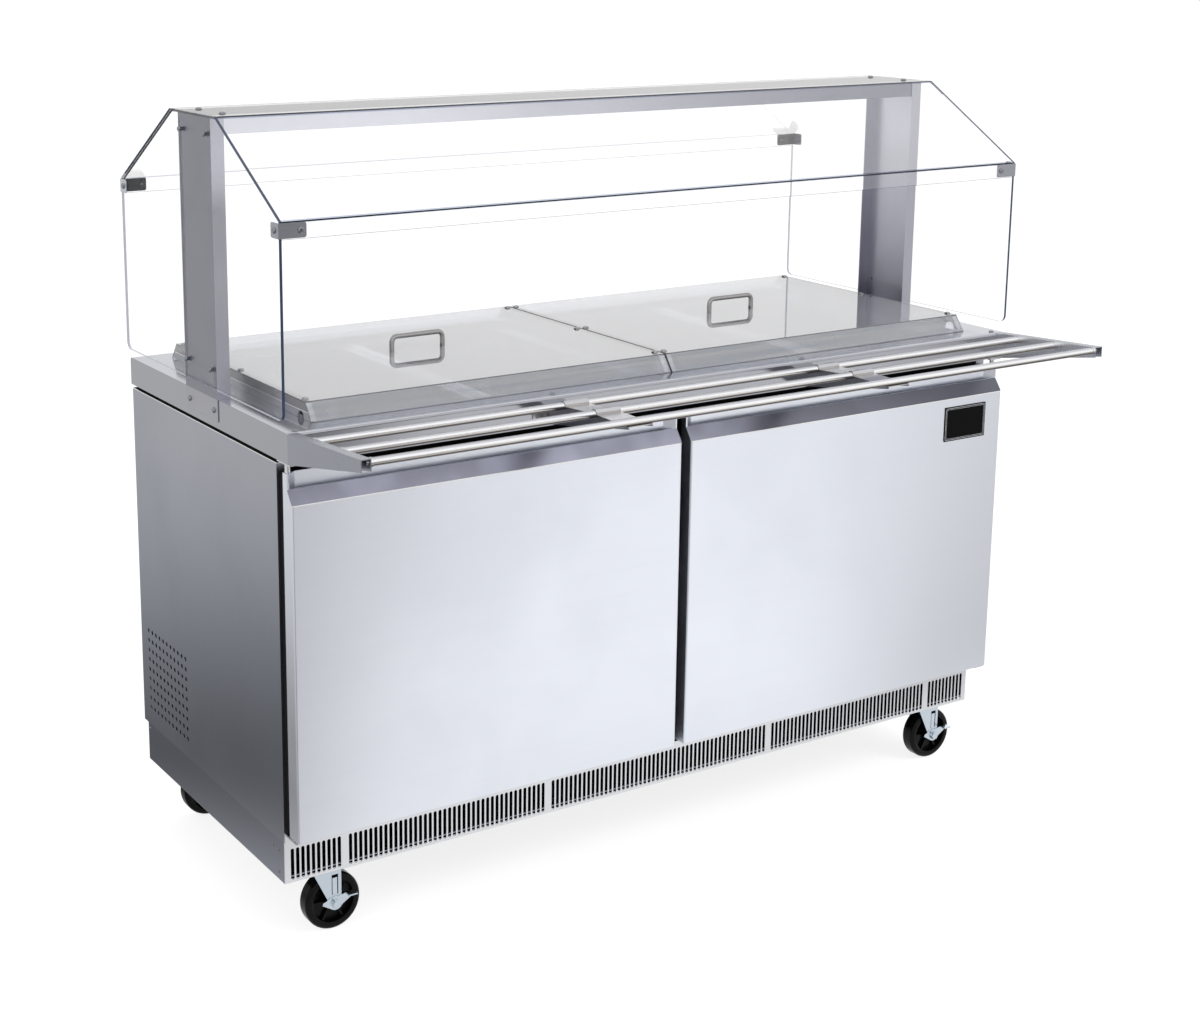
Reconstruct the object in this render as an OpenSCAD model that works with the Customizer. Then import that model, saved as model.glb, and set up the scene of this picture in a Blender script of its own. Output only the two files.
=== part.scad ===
/* [Worktop] */
// Width of the worktop outside a well
deck_side = 73; // [60:1:110]
// Depth of the worktop, without the tray slide
deck_d = 650; // [630:5:740]
// Height of the worktop above the floor
deck_h = 890; // [870:5:940]
// Height of the folded edge of the worktop
deck_edge = 49.5; // [42:0.5:56]
// Radius of the rolled front and rear edges
deck_r = 6; // [4:0.5:8]
// Thickness of the stainless sheet
sheet = 1.5; // [1:0.1:2]
// Width of the strip between the two wells
well_gap = 50; // [46:1:60]
// Depth of the pan ledge below the worktop
ledge_drop = 14; // [10:1:18]
// Width of the pan ledge
ledge_w = 12; // [9:0.5:14]

/* [Food pans] */
// Width of one pan over its rim
pan_w = 325; // [300:1:330]
// Length of one pan over its rim
pan_l = 530; // [500:1:534]
// Depth of a pan
pan_h = 150; // [65:5:150]
// Width of the rim of a pan
pan_rim = 12.5; // [11:0.5:16]
// Pans in one well
pan_n = 2; // [1:1:2]
// Free width beside the rims
pan_play = 1.5; // [1:0.5:3]
// Gap between the rims of two pans, where the adapter bar stands
bar_gap = 14; // [12:0.5:18]

/* [Lids] */
// Height of a lid over the worktop
lid_h = 30; // [24:1:40]
// Thickness of the clear sheet of a lid
lid_t = 3; // [2:0.5:4]
// Slope of the front and rear aprons, measured along the depth
lid_slope = 22; // [12:1:30]
// How far a lid laps over the edge of its well
lid_lap = 10; // [8:0.5:14]
// Gap between the two lids
lid_gap = 4; // [3:0.5:8]
// Diameter of the handle rod
handle_d = 9; // [7:0.5:12]
// Width of a handle over the rod
handle_w = 112; // [90:2:140]
// Height of a handle over its lid
handle_h = 31; // [26:1:45]

/* [Cabinet] */
// How far the cabinet stands in from each side of the worktop
cab_inset = 2; // [1:0.5:6]
// Depth of the cabinet
cab_d = 603; // [590:1:640]
// How far the worktop overhangs the cabinet in front
cab_over = 46; // [40:1:60]
// Dark gap between the cabinet and the worktop
cab_gap = 7; // [5:0.5:10]
// Thickness of the cabinet panels
skin = 1.2; // [0.8:0.1:1.5]
// Thickness of the insulated walls
wall = 60; // [50:1:70]
// Height of the sill and the header over and under the doors
rail_h = 46; // [42:1:52]
// Height of the shelves above the cabinet floor
shelf_rise = 232; // [225:1:300]

/* [Doors] */
// Depth of the folded steel of a door
door_t = 31; // [28:1:40]
// Thickness of the door seal
seal_t = 20; // [16:1:24]
// Gap between the two doors
door_gap = 20; // [16:1:26]
// Gap between the worktop and a door
door_drop = 18; // [16:0.5:20]
// Gap between the base grille and a door
door_rise = 18.5; // [16:0.5:22]
// How far the bevel of the finger pull leans back
pull_lean = 16.5; // [14:0.5:18]
// Height of the bevel of the finger pull
pull_rise = 23; // [18:0.5:28]
// Height of the back wall over the lip of the finger pull
pull_wall = 25.5; // [20:0.5:30]

/* [Base and casters] */
// Height of the lower edge of the base above the floor
base_z = 119.5; // [117:0.5:124]
// Height of the base
base_h = 73; // [66:1:84]
// Distance from the rear of the cabinet to the rear of the base
base_inset = 18; // [10:1:30]
// Diameter of a caster wheel
wheel_d = 102; // [90:1:102]
// Width of a caster wheel
wheel_w = 30; // [24:1:34]
// Distance from the side of the base to the swivel axes
swivel_in = 83; // [70:1:120]
// Offset between a swivel axis and its wheel axle
trail = 18; // [12:1:26]
// Length of the mounting plate of a caster
plate_l = 92; // [80:1:100]
// Width of the mounting plate of a caster
plate_w = 60; // [54:1:70]

/* [Base grille] */
// Width of a slot
slot_w = 6.1; // [4:0.1:7]
// Height of a slot
slot_h = 55; // [40:1:60]
// Distance between neighbouring slots
slot_pitch = 9.55; // [9:0.05:9.7]
// Distance between the last slot of a group and the first of the next
group_gap = 21; // [16:0.5:24]

/* [Side vent] */
// Diameter of a vent hole
vent_d = 8.4; // [6:0.2:10]
// Distance between holes along the depth
vent_pitch_y = 17.2; // [14:0.2:18]
// Distance between rows of holes
vent_pitch_z = 18.9; // [14:0.1:20]

/* [Sneeze guard] */
// Height of the top of the guard above the floor
guard_h = 1357; // [1300:1:1450]
// Width of the flat top, front to back
guard_flat = 180; // [160:2:220]
// Depth of the guard over its vertical lips
guard_d = 644; // [600:2:650]
// Height of the sloping sides
guard_drop = 139.5; // [100:0.5:180]
// Height of the vertical lips
guard_lip = 28; // [24:1:40]
// Thickness of the clear sheets
glass_t = 4.8; // [4:0.2:6]
// Free height between the worktop and the end sheets
glass_rise = 18; // [10:1:30]
// Width of a post, front to back
post_w = 131; // [110:1:150]
// Depth of a post along the width of the cart
post_d = 23.5; // [18:0.5:32]
// Height of the beam between the posts
beam_h = 29; // [24:1:36]

/* [Tray slide] */
// Reach of the tray slide in front of the worktop
tray_reach = 241; // [220:0.5:280]
// Diameter of a tray tube
tube_d = 13; // [11:0.5:16]
// Width of an end bracket
arm_w = 17.3; // [15:0.1:24]
// Height of an end bracket at its outer end
arm_tip = 19; // [18:0.5:24]
// How far the outer end stands over the worktop
arm_lift = 14.8; // [10:0.2:18]
// Width of a middle bracket
mid_w = 47; // [36:1:60]
// Distance between the middle brackets
mid_span = 540; // [400:10:700]

/* [Hidden] */

// Round forms are drawn with this many sides
$fn = 48;
// Small step past a face, so that a cut goes right through
cut = 1;
// Gap between two pieces that rest on each other
seat = 0.3;
// Radial play of a turning fit
play = 0.08;

// Height of the large screw heads
screw_h = 3;

// The cart is modelled about the middle of its worktop and then set back,
// so that the middle of its whole depth lies on the origin
guard_rear = guard_d / 2 + sheet + screw_h;
set_back = (deck_d / 2 + tray_reach - guard_rear) / 2;

// Worktop and wells
well_w = pan_n * pan_w + (pan_n - 1) * bar_gap + 2 * pan_play;
deck_x = well_gap / 2 + well_w + deck_side;
deck_y = deck_d / 2;
deck_low = deck_h - deck_edge;
deck_flange = 15;
well_l = pan_l + 14;
well_in = well_gap / 2;
well_out = well_in + well_w;
well_r = 8;
ledge_z = deck_h - ledge_drop;
ledge_x0 = well_in + ledge_w;
ledge_x1 = well_out - ledge_w;
ledge_y = well_l / 2 - ledge_w;
rim_t = 1.2;
pan_pitch = pan_w + bar_gap;
pan_x = [for (i = [0 : pan_n - 1]) well_in + pan_play + pan_w / 2 + i * pan_pitch];
bar_x = [for (i = [0 : pan_n - 2]) well_in + pan_play + pan_w + bar_gap / 2 + i * pan_pitch];

// Cabinet
cab_x = deck_x - cab_inset;
cab_w = 2 * cab_x;
cab_front = -(deck_y - cab_over);
cab_rear = cab_front + cab_d;
cab_low = base_z + base_h;
cab_high = deck_low - cab_gap;
room_x = cab_x - wall;
header_d = 22;
room_y0 = cab_front + header_d;
room_y1 = cab_rear - wall;
room_z = cab_low + rail_h;
header_z = cab_high - rail_h;
seal_in = 8;
seal_w = 14;
mullion_w = 56;
liner_t = 0.8;
vent_back = 122;
vent_up = 111;
return_w = 20;

// Screws at the front of the worktop: beside the lid, and in front of it
deck_screw_x = [deck_x - 20, well_gap / 2 + 245];

// Middle of the block of vent holes
vent_y = cab_rear - vent_back;
vent_z = cab_low + vent_up;

// Machine room in the lower left corner at the back, sized for the compressor and the coil
machine_w = 423;
machine_d = 214;
machine_h = 208;
machine_x = machine_w - cab_x;
machine_y = cab_rear - machine_d;
machine_z = cab_low + machine_h;
step_wall = 40;
machine_floor = cab_low + 2;
compressor_r = 58;
compressor_at = [machine_x - 117 - compressor_r, cab_rear - machine_d + 102];
compressor_top = machine_floor + 154;
pipe_r = 4;
coil_t = 34;
coil_x = -cab_x + skin + 6;
coil_z = [machine_floor, machine_floor + machine_h - 30];
coil_y = [machine_y + 8, cab_rear - 30];
fan_at = [coil_x + coil_t + 28, (coil_y[0] + coil_y[1]) / 2, (coil_z[0] + coil_z[1]) / 2];
fan_r = (coil_y[1] - coil_y[0]) / 2 - 12;

// Shelves and the cooler at the rear wall over them
shelf_z = room_z + shelf_rise;
wire_r = 1.8;
frame_r = 3;
shelf_x = [mullion_w / 2 + 4, room_x - liner_t - 6];
shelf_y = [room_y0 + 8, room_y1 - liner_t - 12];
ev_w = 210;
ev_up = 72;
ev_z = [shelf_z + ev_up, ledge_z - pan_h - 8];
ev_y = room_y1 - liner_t;
ev_d = 82;
ev_coil = 38;
ev_fan_at = [0, ev_y - ev_d + 20, (ev_z[0] + ev_z[1]) / 2];
ev_fan_r = 56;

// Distances of the grille slots from the middle: half the middle group, then two more
mid_slots = [for (i = [1 : 25]) i * slot_pitch];
second_slots = [for (i = [0 : 40]) 25 * slot_pitch + group_gap + i * slot_pitch];
third_slots = [for (i = [0 : 9]) 65 * slot_pitch + 2 * group_gap + i * slot_pitch];

// Doors
door_x0 = door_gap / 2;
door_x1 = cab_x - 1;
door_back = cab_front - seal_t;
door_front = door_back - door_t;
door_z = cab_low + door_rise;
door_top = deck_low - door_drop;
lip_z = door_top - pull_wall;
pull_z = lip_z - pull_rise;
lip_y = door_front + pull_lean;
pull_end = 3;
pull_slant = 20;
door_skin = 1.5;
pin_x = door_x1 - 5;
pin_y = door_back - 7.5;
pin_r = 3;
pin_in = 14;
hinge_t = 3;
gasket_w = 14;
gasket_in = 3;

// Guard
guard_y = guard_d / 2;
shoulder_y = guard_flat / 2;
shoulder_z = guard_h - guard_drop;
lip_low = shoulder_z - guard_lip;
post_x = deck_x + sheet;
glass_x = post_x + glass_t;
post_y = post_w / 2;
post_top = guard_h - glass_t;
post_lap = 40;
screw_y = post_y - 15.5;
glass_low = deck_h + glass_rise;
guard_screw_z = [glass_low + 31, post_top - 26];
corner_z = lip_low + 14;
corner_x = glass_x - 36;
beam_screw = [deck_x - seat - 28, post_y - sheet - seat - 16];

// Lids
lid_x0 = lid_gap / 2;
lid_x1 = well_out + lid_lap;
lid_y = well_l / 2 + lid_lap;
lid_top = deck_h + lid_h;
lid_low = deck_h + seat;

// Tray slide
tray_y = -deck_y - tray_reach;
tube_y = [-deck_y - 53.7, -deck_y - 143.2, tray_y + 7];
bolt_r = 4.6;
tube_z = [for (y = tube_y) deck_h + arm_lift * (-deck_y - y) / tray_reach - sheet - bolt_r - 0.5];
tube_x = deck_x - arm_w;
collar_w = 4;
arm_top = deck_h + arm_lift;

// Casters
swivel_x = cab_x - swivel_in;
base_y0 = cab_front;
base_y1 = cab_rear - base_inset;
pan_floor = base_z + 9.5;
pan_t = 2;
side_flange = 22;
hat_w = 30;
caster_front = base_y0 + 10 + plate_w / 2;
caster_rear = base_y1 - 3 - plate_w / 2;
casters = [[-swivel_x, caster_front], [swivel_x, caster_front], [-swivel_x, caster_rear], [swivel_x, caster_rear]];
axle_z = wheel_d / 2;
plate_t = 3.5;
crown_z = base_z - 2;
crown_t = 3;
king_r = 6;
axle_r = 4;
leg_t = 3;
leg_y = wheel_w / 2 + 2.5;
hub_y = leg_y - seat;
pedal_t = 2.5;

// Functions and shared shapes

function mid_steps(n, pitch) = [for (i = [0 : n - 1]) (i - (n - 1) / 2) * pitch];
function arc(c, r, a0, a1, n = 8) = [for (i = [0 : n]) c + r * [cos(a0 + (a1 - a0) * i / n), sin(a0 + (a1 - a0) * i / n)]];

module place() {
    translate([0, set_back, 0]) children();
}

// Box between two corners
module block(low, high) {
    translate(low) cube(high - low);
}

// Outline in depth and height, drawn out along the width
module along_x(x0, x1) {
    translate([x0, 0, 0]) rotate([90, 0, 90]) linear_extrude(x1 - x0) children();
}

// Outline in width and height, drawn out along the depth
module along_y(y0, y1) {
    translate([0, y1, 0]) rotate([90, 0, 0]) linear_extrude(y1 - y0) children();
}

module along_z(z0, z1) {
    translate([0, 0, z0]) linear_extrude(z1 - z0) children();
}

module rod_x(x0, x1, y, z, r) {
    translate([x0, y, z]) rotate([0, 90, 0]) cylinder(h = x1 - x0, r = r);
}

module rod_y(x, y0, y1, z, r) {
    translate([x, y1, z]) rotate([90, 0, 0]) cylinder(h = y1 - y0, r = r);
}

module rod_z(x, y, z0, z1, r) {
    translate([x, y, z0]) cylinder(h = z1 - z0, r = r);
}

// Rectangle between two corners, with round corners
module soft_rect(low, high, r) {
    size = high - low;
    translate(low + [r, 0]) square([size[0] - 2 * r, size[1]]);
    translate(low + [0, r]) square([size[0], size[1] - 2 * r]);
    for (x = [low[0] + r, high[0] - r])
        for (y = [low[1] + r, high[1] - r])
            translate([x, y]) circle(r = r, $fn = 32);
}

// Screw with a domed head, its seat on the origin and its head up
module dome_screw(head_r = 5, head_h = 2.6, shank_r = 2.5, shank = 6) {
    cylinder(h = head_h * 0.55, r1 = head_r, r2 = head_r * 0.88, $fn = 24);
    translate([0, 0, head_h * 0.55]) cylinder(h = head_h * 0.45, r1 = head_r * 0.88, r2 = head_r * 0.55, $fn = 24);
    if (shank > 0) translate([0, 0, -shank]) cylinder(h = shank, r = shank_r, $fn = 24);
}

module both_sides() {
    children();
    mirror([1, 0, 0]) children();
}

// Worktop: a folded tray with two wells and a ledge for the pans in each

module deck_outline(t) {
    r = deck_r - t;
    polygon(concat(
        [[-deck_y + t, deck_low - (t > 0 ? cut : 0)]],
        arc([-deck_y + deck_r, deck_h - deck_r], r, 180, 90),
        arc([deck_y - deck_r, deck_h - deck_r], r, 90, 0),
        [[deck_y - t, deck_low - (t > 0 ? cut : 0)]]
    ));
}

module well_ledge() {
    difference() {
        along_z(ledge_z - sheet, deck_h)
            soft_rect([well_in - sheet, -well_l / 2 - sheet], [well_out + sheet, well_l / 2 + sheet], well_r + sheet);
        along_z(ledge_z, deck_h + cut)
            soft_rect([well_in, -well_l / 2], [well_out, well_l / 2], well_r);
        along_z(ledge_z - sheet - cut, deck_h)
            soft_rect([ledge_x0, -ledge_y], [ledge_x1, ledge_y], well_r);
    }
}

module deck_top() color("gainsboro") place() {
    difference() {
        along_x(-deck_x, deck_x) deck_outline(0);
        along_x(-deck_x + sheet, deck_x - sheet) deck_outline(sheet);
        both_sides()
            along_z(deck_h - 2 * deck_r, deck_h + cut)
                soft_rect([well_in - sheet / 2, -well_l / 2 - sheet / 2],
                    [well_out + sheet / 2, well_l / 2 + sheet / 2], well_r);
        both_sides() at_deck_screws() translate([0, 0, -5]) cylinder(h = 10, r = 2.6);
    }
    difference() {
        block([-deck_x, -deck_y, deck_low], [deck_x, deck_y, deck_low + sheet]);
        block([-deck_x + deck_flange, -deck_y + deck_flange, deck_low - cut],
            [deck_x - deck_flange, deck_y - deck_flange, deck_low + sheet + cut]);
    }
    both_sides() well_ledge();
}

module deck_core() color("wheat") place() difference() {
    block([-deck_x + sheet, -deck_y + deck_r, deck_low + sheet], [deck_x - sheet, deck_y - deck_r, deck_h - sheet]);
    both_sides()
        block([well_in - sheet, -well_l / 2 - sheet, deck_low], [well_out + sheet, well_l / 2 + sheet, deck_h]);
}

module deck_seal() color("black") place() difference() {
    block([-cab_x + seal_in, cab_front + seal_in, cab_high], [cab_x - seal_in, cab_rear - seal_in, deck_low]);
    block([-cab_x + seal_in + seal_w, cab_front + seal_in + seal_w, cab_high - cut],
        [cab_x - seal_in - seal_w, cab_rear - seal_in - seal_w, deck_low + cut]);
}

// Food pans and the bars between them

module food_pan(x) translate([x, 0, 0]) difference() {
    union() {
        along_z(ledge_z, ledge_z + rim_t) soft_rect([-pan_w / 2, -pan_l / 2], [pan_w / 2, pan_l / 2], 16);
        along_z(ledge_z - pan_h, ledge_z)
            soft_rect([-pan_w / 2 + pan_rim, -pan_l / 2 + pan_rim + 2], [pan_w / 2 - pan_rim, pan_l / 2 - pan_rim - 2], 28);
    }
    along_z(ledge_z - pan_h + rim_t, ledge_z + rim_t + cut)
        soft_rect([-pan_w / 2 + pan_rim + rim_t, -pan_l / 2 + pan_rim + 2 + rim_t],
            [pan_w / 2 - pan_rim - rim_t, pan_l / 2 - pan_rim - 2 - rim_t], 28 - rim_t);
}

module food_pans() color("lightgray") place() both_sides() for (x = pan_x) food_pan(x);

module adapter_bars() color("silver") place() both_sides() for (x = bar_x) {
    flange = bar_gap / 2 + 5;
    rib = bar_gap / 2 - 1;
    block([x - flange, -ledge_y + seat, ledge_z - sheet], [x + flange, ledge_y - seat, ledge_z]);
    block([x - rib, -well_l / 2 + 1, ledge_z], [x + rib, well_l / 2 - 1, ledge_z + 6]);
}

// Cabinet: a foamed body in steel panels, with a steel liner

module machine_room(t = 0) {
    block([-cab_x, machine_y - t, cab_low - cut], [machine_x + t, cab_rear + cut, machine_z + t]);
}

module cabinet_room(t) {
    difference() {
        union() {
            block([-room_x + t, room_y0 - cut, room_z + t], [room_x - t, room_y1 - t, cab_high + cut]);
            block([-room_x + t, cab_front - cut, room_z + t], [room_x - t, room_y0, header_z - t]);
        }
        machine_room(step_wall + t);
        block([-room_x, room_y0 - 2 * cut, header_z - t], [room_x, room_y0 + t, cab_high + 2 * cut]);
    }
}

module cabinet_body() color("whitesmoke") place() difference() {
    block([-cab_x + skin, cab_front + skin, cab_low], [cab_x - skin, cab_rear - skin, cab_high]);
    cabinet_room(0);
    machine_room();
}

module cabinet_liner() color("lightgray") place() difference() {
    intersection() {
        cabinet_room(0);
        block([-cab_x, cab_front + skin, cab_low], [cab_x, cab_rear, cab_high]);
    }
    cabinet_room(liner_t);
}

module face_frame() color("black") place() difference() {
    block([-cab_x + return_w, cab_front, cab_low], [cab_x - return_w, cab_front + skin, cab_high]);
    both_sides()
        along_y(cab_front - cut, cab_front + skin + cut)
            soft_rect([mullion_w / 2, room_z], [room_x, header_z], 10);
}

module mullion() color("dimgray") place()
    block([-mullion_w / 2, cab_front + skin, room_z + liner_t], [mullion_w / 2, room_y0, header_z - liner_t]);

module side_sheet(vents) {
    along_x(cab_x - skin, cab_x) difference() {
        translate([cab_front, cab_low]) square([cab_rear - skin - cab_front, cab_high - cab_low]);
        if (vents)
            for (y = mid_steps(11, vent_pitch_y))
                for (z = mid_steps(9, vent_pitch_z))
                    translate([vent_y + y, vent_z + z]) circle(d = vent_d, $fn = 24);
    }
    block([cab_x - return_w, cab_front, cab_low], [cab_x - skin / 2, cab_front + skin, cab_high]);
}

module side_panel_left() color("silver") place() mirror([1, 0, 0]) side_sheet(true);
module side_panel_right() color("silver") place() side_sheet(false);

module back_panel() color("silver") place() difference() {
    block([-cab_x, cab_rear - skin, cab_low], [cab_x, cab_rear, cab_high]);
    block([-cab_x + 25, cab_rear - skin - cut, cab_low + 14], [machine_x - 12, cab_rear + cut, machine_z - 10]);
    at_back_screws() translate([0, 0, -5]) cylinder(h = 10, r = 1.8);
}

// Cover of the machine room, with rows of slots
module rear_grille() color("gainsboro") place()
    along_y(cab_rear, cab_rear + 1) difference() {
        translate([-cab_x + 12, cab_low + 4]) square([machine_x + cab_x - 14, machine_z - cab_low - 4]);
        for (row = [0 : 3])
            for (x = mid_steps(16, 22))
                translate([(machine_x - cab_x) / 2 + x, cab_low + 35 + 44 * row]) {
                    translate([-4, 0]) square([8, 26]);
                    circle(r = 4, $fn = 24);
                    translate([0, 26]) circle(r = 4, $fn = 24);
                }
    }

// Base: a folded pan that the casters bolt to, and a slotted grille in front

module base_frame() color("silver") place() difference() {
    base_pan();
    both_sides() at_base_screws() translate([0, 0, -5]) cylinder(h = 10, r = 1.8);
}

module base_pan() {
    block([-cab_x + skin, base_y0 + sheet, pan_floor], [cab_x - skin, base_y1 - skin, pan_floor + pan_t]);
    both_sides() {
        block([cab_x - skin, base_y0 + sheet, base_z], [cab_x, base_y1, cab_low]);
        block([cab_x - side_flange, base_y0 + sheet, cab_low - sheet], [cab_x - skin / 2, base_y1, cab_low]);
    }
    block([-cab_x, base_y1 - skin, base_z], [cab_x, base_y1, cab_low]);
    block([-cab_x, base_y1 - side_flange, cab_low - sheet], [cab_x, base_y1 - skin / 2, cab_low]);
    // Two hat sections under the cabinet
    for (y = [(base_y0 + base_y1) / 2 - 133, (base_y0 + base_y1) / 2 + 80]) {
        for (face = [y, y + hat_w - sheet])
            block([-cab_x + side_flange, face, pan_floor + pan_t / 2], [cab_x - side_flange, face + sheet, cab_low]);
        block([-cab_x + side_flange, y, cab_low - sheet], [cab_x - side_flange, y + hat_w, cab_low]);
    }
}

// One slot, its middle on the origin
module slot() {
    straight = slot_h - slot_w;
    translate([-slot_w / 2, -straight / 2]) square([slot_w, straight]);
    for (z = [-straight / 2, straight / 2])
        translate([0, z]) circle(d = slot_w, $fn = 24);
}

module front_grille() color("silver") place() {
    along_y(base_y0, base_y0 + sheet) difference() {
        translate([-cab_x, base_z]) square([cab_w, base_h]);
        translate([0, base_z + 32]) slot();
        for (x = concat(mid_slots, second_slots, third_slots))
            for (side = [-1, 1])
                translate([side * x, base_z + 32]) slot();
    }
    block([-cab_x + 2 * skin, base_y0 + sheet / 2, base_z], [cab_x - 2 * skin, base_y0 + 7, base_z + sheet]);
}

// Cooling machine

module machine_base() color("dimgray") place() difference() {
    block([-cab_x + 2 * skin, machine_y + 1, cab_low], [machine_x - 2, base_y1 - 2, machine_floor]);
    for (x = [-cab_x + 60 : 40 : machine_x - 40])
        block([x, machine_y + 30, cab_low - cut], [x + 18, base_y1 - 40, machine_floor + cut]);
}

module compressor() color("black") place() translate([compressor_at[0], compressor_at[1], machine_floor]) {
    for (a = [45 : 90 : 315])
        rotate([0, 0, a]) translate([compressor_r + 10, 0, 0]) {
            cylinder(h = 12, r = 9);
            translate([-22, -9, 12]) cube([31, 18, 3]);
        }
    translate([0, 0, 14]) rotate_extrude() polygon(concat(
        [[0, 0], [compressor_r - 8, 0]],
        arc([compressor_r - 8, 8], 8, -90, 0),
        [[compressor_r, 62], [compressor_r + 4, 64], [compressor_r + 4, 72], [compressor_r, 74]],
        arc([compressor_r - 30, 110], 30, 0, 90),
        [[0, 140]]
    ));
}

// Finned coil with its fan ring and motor
module condenser() color("slategray") place() {
    difference() {
        block([coil_x, coil_y[0], coil_z[0]], [coil_x + coil_t, coil_y[1], coil_z[1]]);
        for (z = [coil_z[0] + 8 : 9 : coil_z[1] - 8])
            block([coil_x - cut, coil_y[0] + 5, z], [coil_x + coil_t + cut, coil_y[1] - 5, z + 5]);
    }
    for (y = mid_steps(4, 40))
        rod_z(coil_x + coil_t / 2, fan_at[1] + y, coil_z[0] + 1, coil_z[1] - 1, 5);
    // Shroud round the fan
    difference() {
        block([coil_x + coil_t, coil_y[0], coil_z[0]], [coil_x + coil_t + 16, coil_y[1], coil_z[1]]);
        block([coil_x + coil_t - cut, coil_y[0] + 3, coil_z[0] + 3], [coil_x + coil_t + 13, coil_y[1] - 3, coil_z[1] - 3]);
        rod_x(coil_x + coil_t + 6, coil_x + coil_t + 26, fan_at[1], fan_at[2], fan_r + 4);
    }
    // Motor on its bracket, with the fan shaft
    rod_x(fan_at[0] + 12, fan_at[0] + 56, fan_at[1], fan_at[2], 26);
    rod_x(fan_at[0] - 9, fan_at[0] + 13, fan_at[1], fan_at[2], 4);
    block([fan_at[0] + 24, fan_at[1] - 14, coil_z[0]], [fan_at[0] + 44, fan_at[1] + 14, fan_at[2] - 20]);
}

// Fan: a hub with tilted blades, its shaft along Z and its middle on the origin
module fan_rotor(r, hub, bore, blades) difference() {
    union() {
        cylinder(h = 14, r = hub, center = true);
        for (i = [0 : blades - 1])
            rotate([0, 0, 360 / blades * i]) translate([hub - 2, 0, 0]) rotate([28, 0, 0])
                intersection() {
                    translate([0, -r * 0.28, -0.8]) cube([r - hub, r * 0.56, 1.6]);
                    translate([-hub, 0, -r / 2]) cylinder(h = r, r = r - 1);
                }
    }
    cylinder(h = 20, r = bore, center = true);
}

module condenser_fan() color("dimgray") place()
    translate(fan_at) rotate([0, 90, 0]) fan_rotor(fan_r, 20, 4 + play, 5);

module evaporator() color("lightsteelblue") place() {
    difference() {
        block([-ev_w + 18, ev_y - ev_coil, ev_z[0] + 12], [ev_w - 18, ev_y, ev_z[1] - 12]);
        for (x = [-ev_w + 26 : 9 : ev_w - 28])
            block([x, ev_y - ev_coil - cut, ev_z[0] + 20], [x + 6, ev_y - 4, ev_z[1] - 20]);
    }
    rod_y(0, ev_fan_at[1] + 9, ev_y - ev_coil, ev_fan_at[2], 20);
    rod_y(0, ev_fan_at[1] - 9, ev_fan_at[1] + 9, ev_fan_at[2], 3);
}

module evaporator_cover() color("gainsboro") place() {
    difference() {
        block([-ev_w, ev_y - ev_d, ev_z[0]], [ev_w, ev_y, ev_z[1]]);
        block([-ev_w + sheet, ev_y - ev_d + sheet, ev_z[0] + sheet], [ev_w - sheet, ev_y + cut, ev_z[1] - sheet]);
        rod_y(0, ev_y - ev_d - 8, ev_y - ev_d + 12, ev_fan_at[2], ev_fan_r + 5);
        for (side = [-1, 1])
            for (z = mid_steps(7, 16))
                block([side * 135 - 45, ev_y - ev_d - 8, ev_fan_at[2] + z - 4], [side * 135 + 45, ev_y - ev_d + 12, ev_fan_at[2] + z + 4]);
    }
    // Guard rings in front of the fan
    for (r = [20, 38, 56])
        translate([0, ev_y - ev_d, ev_fan_at[2]]) rotate([90, 0, 0]) rotate_extrude() translate([r, 0.75]) circle(r = 1.5, $fn = 16);
    for (a = [0, 90])
        translate([0, ev_y - ev_d + 1.25, ev_fan_at[2]]) rotate([0, a, 0]) rod_x(-ev_fan_r - 7, ev_fan_r + 7, 0, 0, 1.5);
}

module evaporator_fan() color("dimgray") place()
    translate(ev_fan_at) rotate([90, 0, 0]) fan_rotor(ev_fan_r, 16, 3 + play, 5);

// Pipe through a list of points, with round corners
module pipe(points, r) {
    for (i = [0 : len(points) - 2]) {
        run = points[i + 1] - points[i];
        flat_run = norm([run[0], run[1]]);
        translate(points[i]) rotate([0, atan2(flat_run, run[2]), atan2(run[1], run[0])])
            cylinder(h = norm(run), r = r, $fn = 20);
        if (i > 0) translate(points[i]) sphere(r = r, $fn = 20);
    }
}

module refrigerant_pipes() color("peru") place() {
    top = coil_z[1] + 8;
    back = coil_y[1] - 8;
    // Discharge pipe from the compressor to the coil
    pipe([[compressor_at[0] - 20, compressor_at[1], compressor_top], [compressor_at[0] - 20, compressor_at[1], top],
        [fan_at[0], compressor_at[1], top], [fan_at[0], back, top], [coil_x + coil_t / 2, back, top], [coil_x + coil_t / 2, back, coil_z[1]]], pipe_r);
    // Suction pipe from the foamed wall to the compressor
    pipe([[compressor_at[0] + 18, compressor_at[1], compressor_top], [compressor_at[0] + 18, compressor_at[1], top],
        [machine_x, compressor_at[1], top]], pipe_r);
}

// Shelves of round wire on clips

module wire_shelf() {
    $fn = 8;
    for (y = shelf_y) rod_x(shelf_x[0] - frame_r, shelf_x[1] + frame_r, y, shelf_z, frame_r);
    for (x = shelf_x) rod_y(x, shelf_y[0], shelf_y[1], shelf_z, frame_r);
    rod_x(shelf_x[0], shelf_x[1], (shelf_y[0] + shelf_y[1]) / 2, shelf_z, frame_r);
    for (x = mid_steps(21, 30))
        rod_y((shelf_x[0] + shelf_x[1]) / 2 + x, shelf_y[0], shelf_y[1], shelf_z + frame_r, wire_r);
}

module wire_shelves() color("silver") place() both_sides() wire_shelf();

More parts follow.
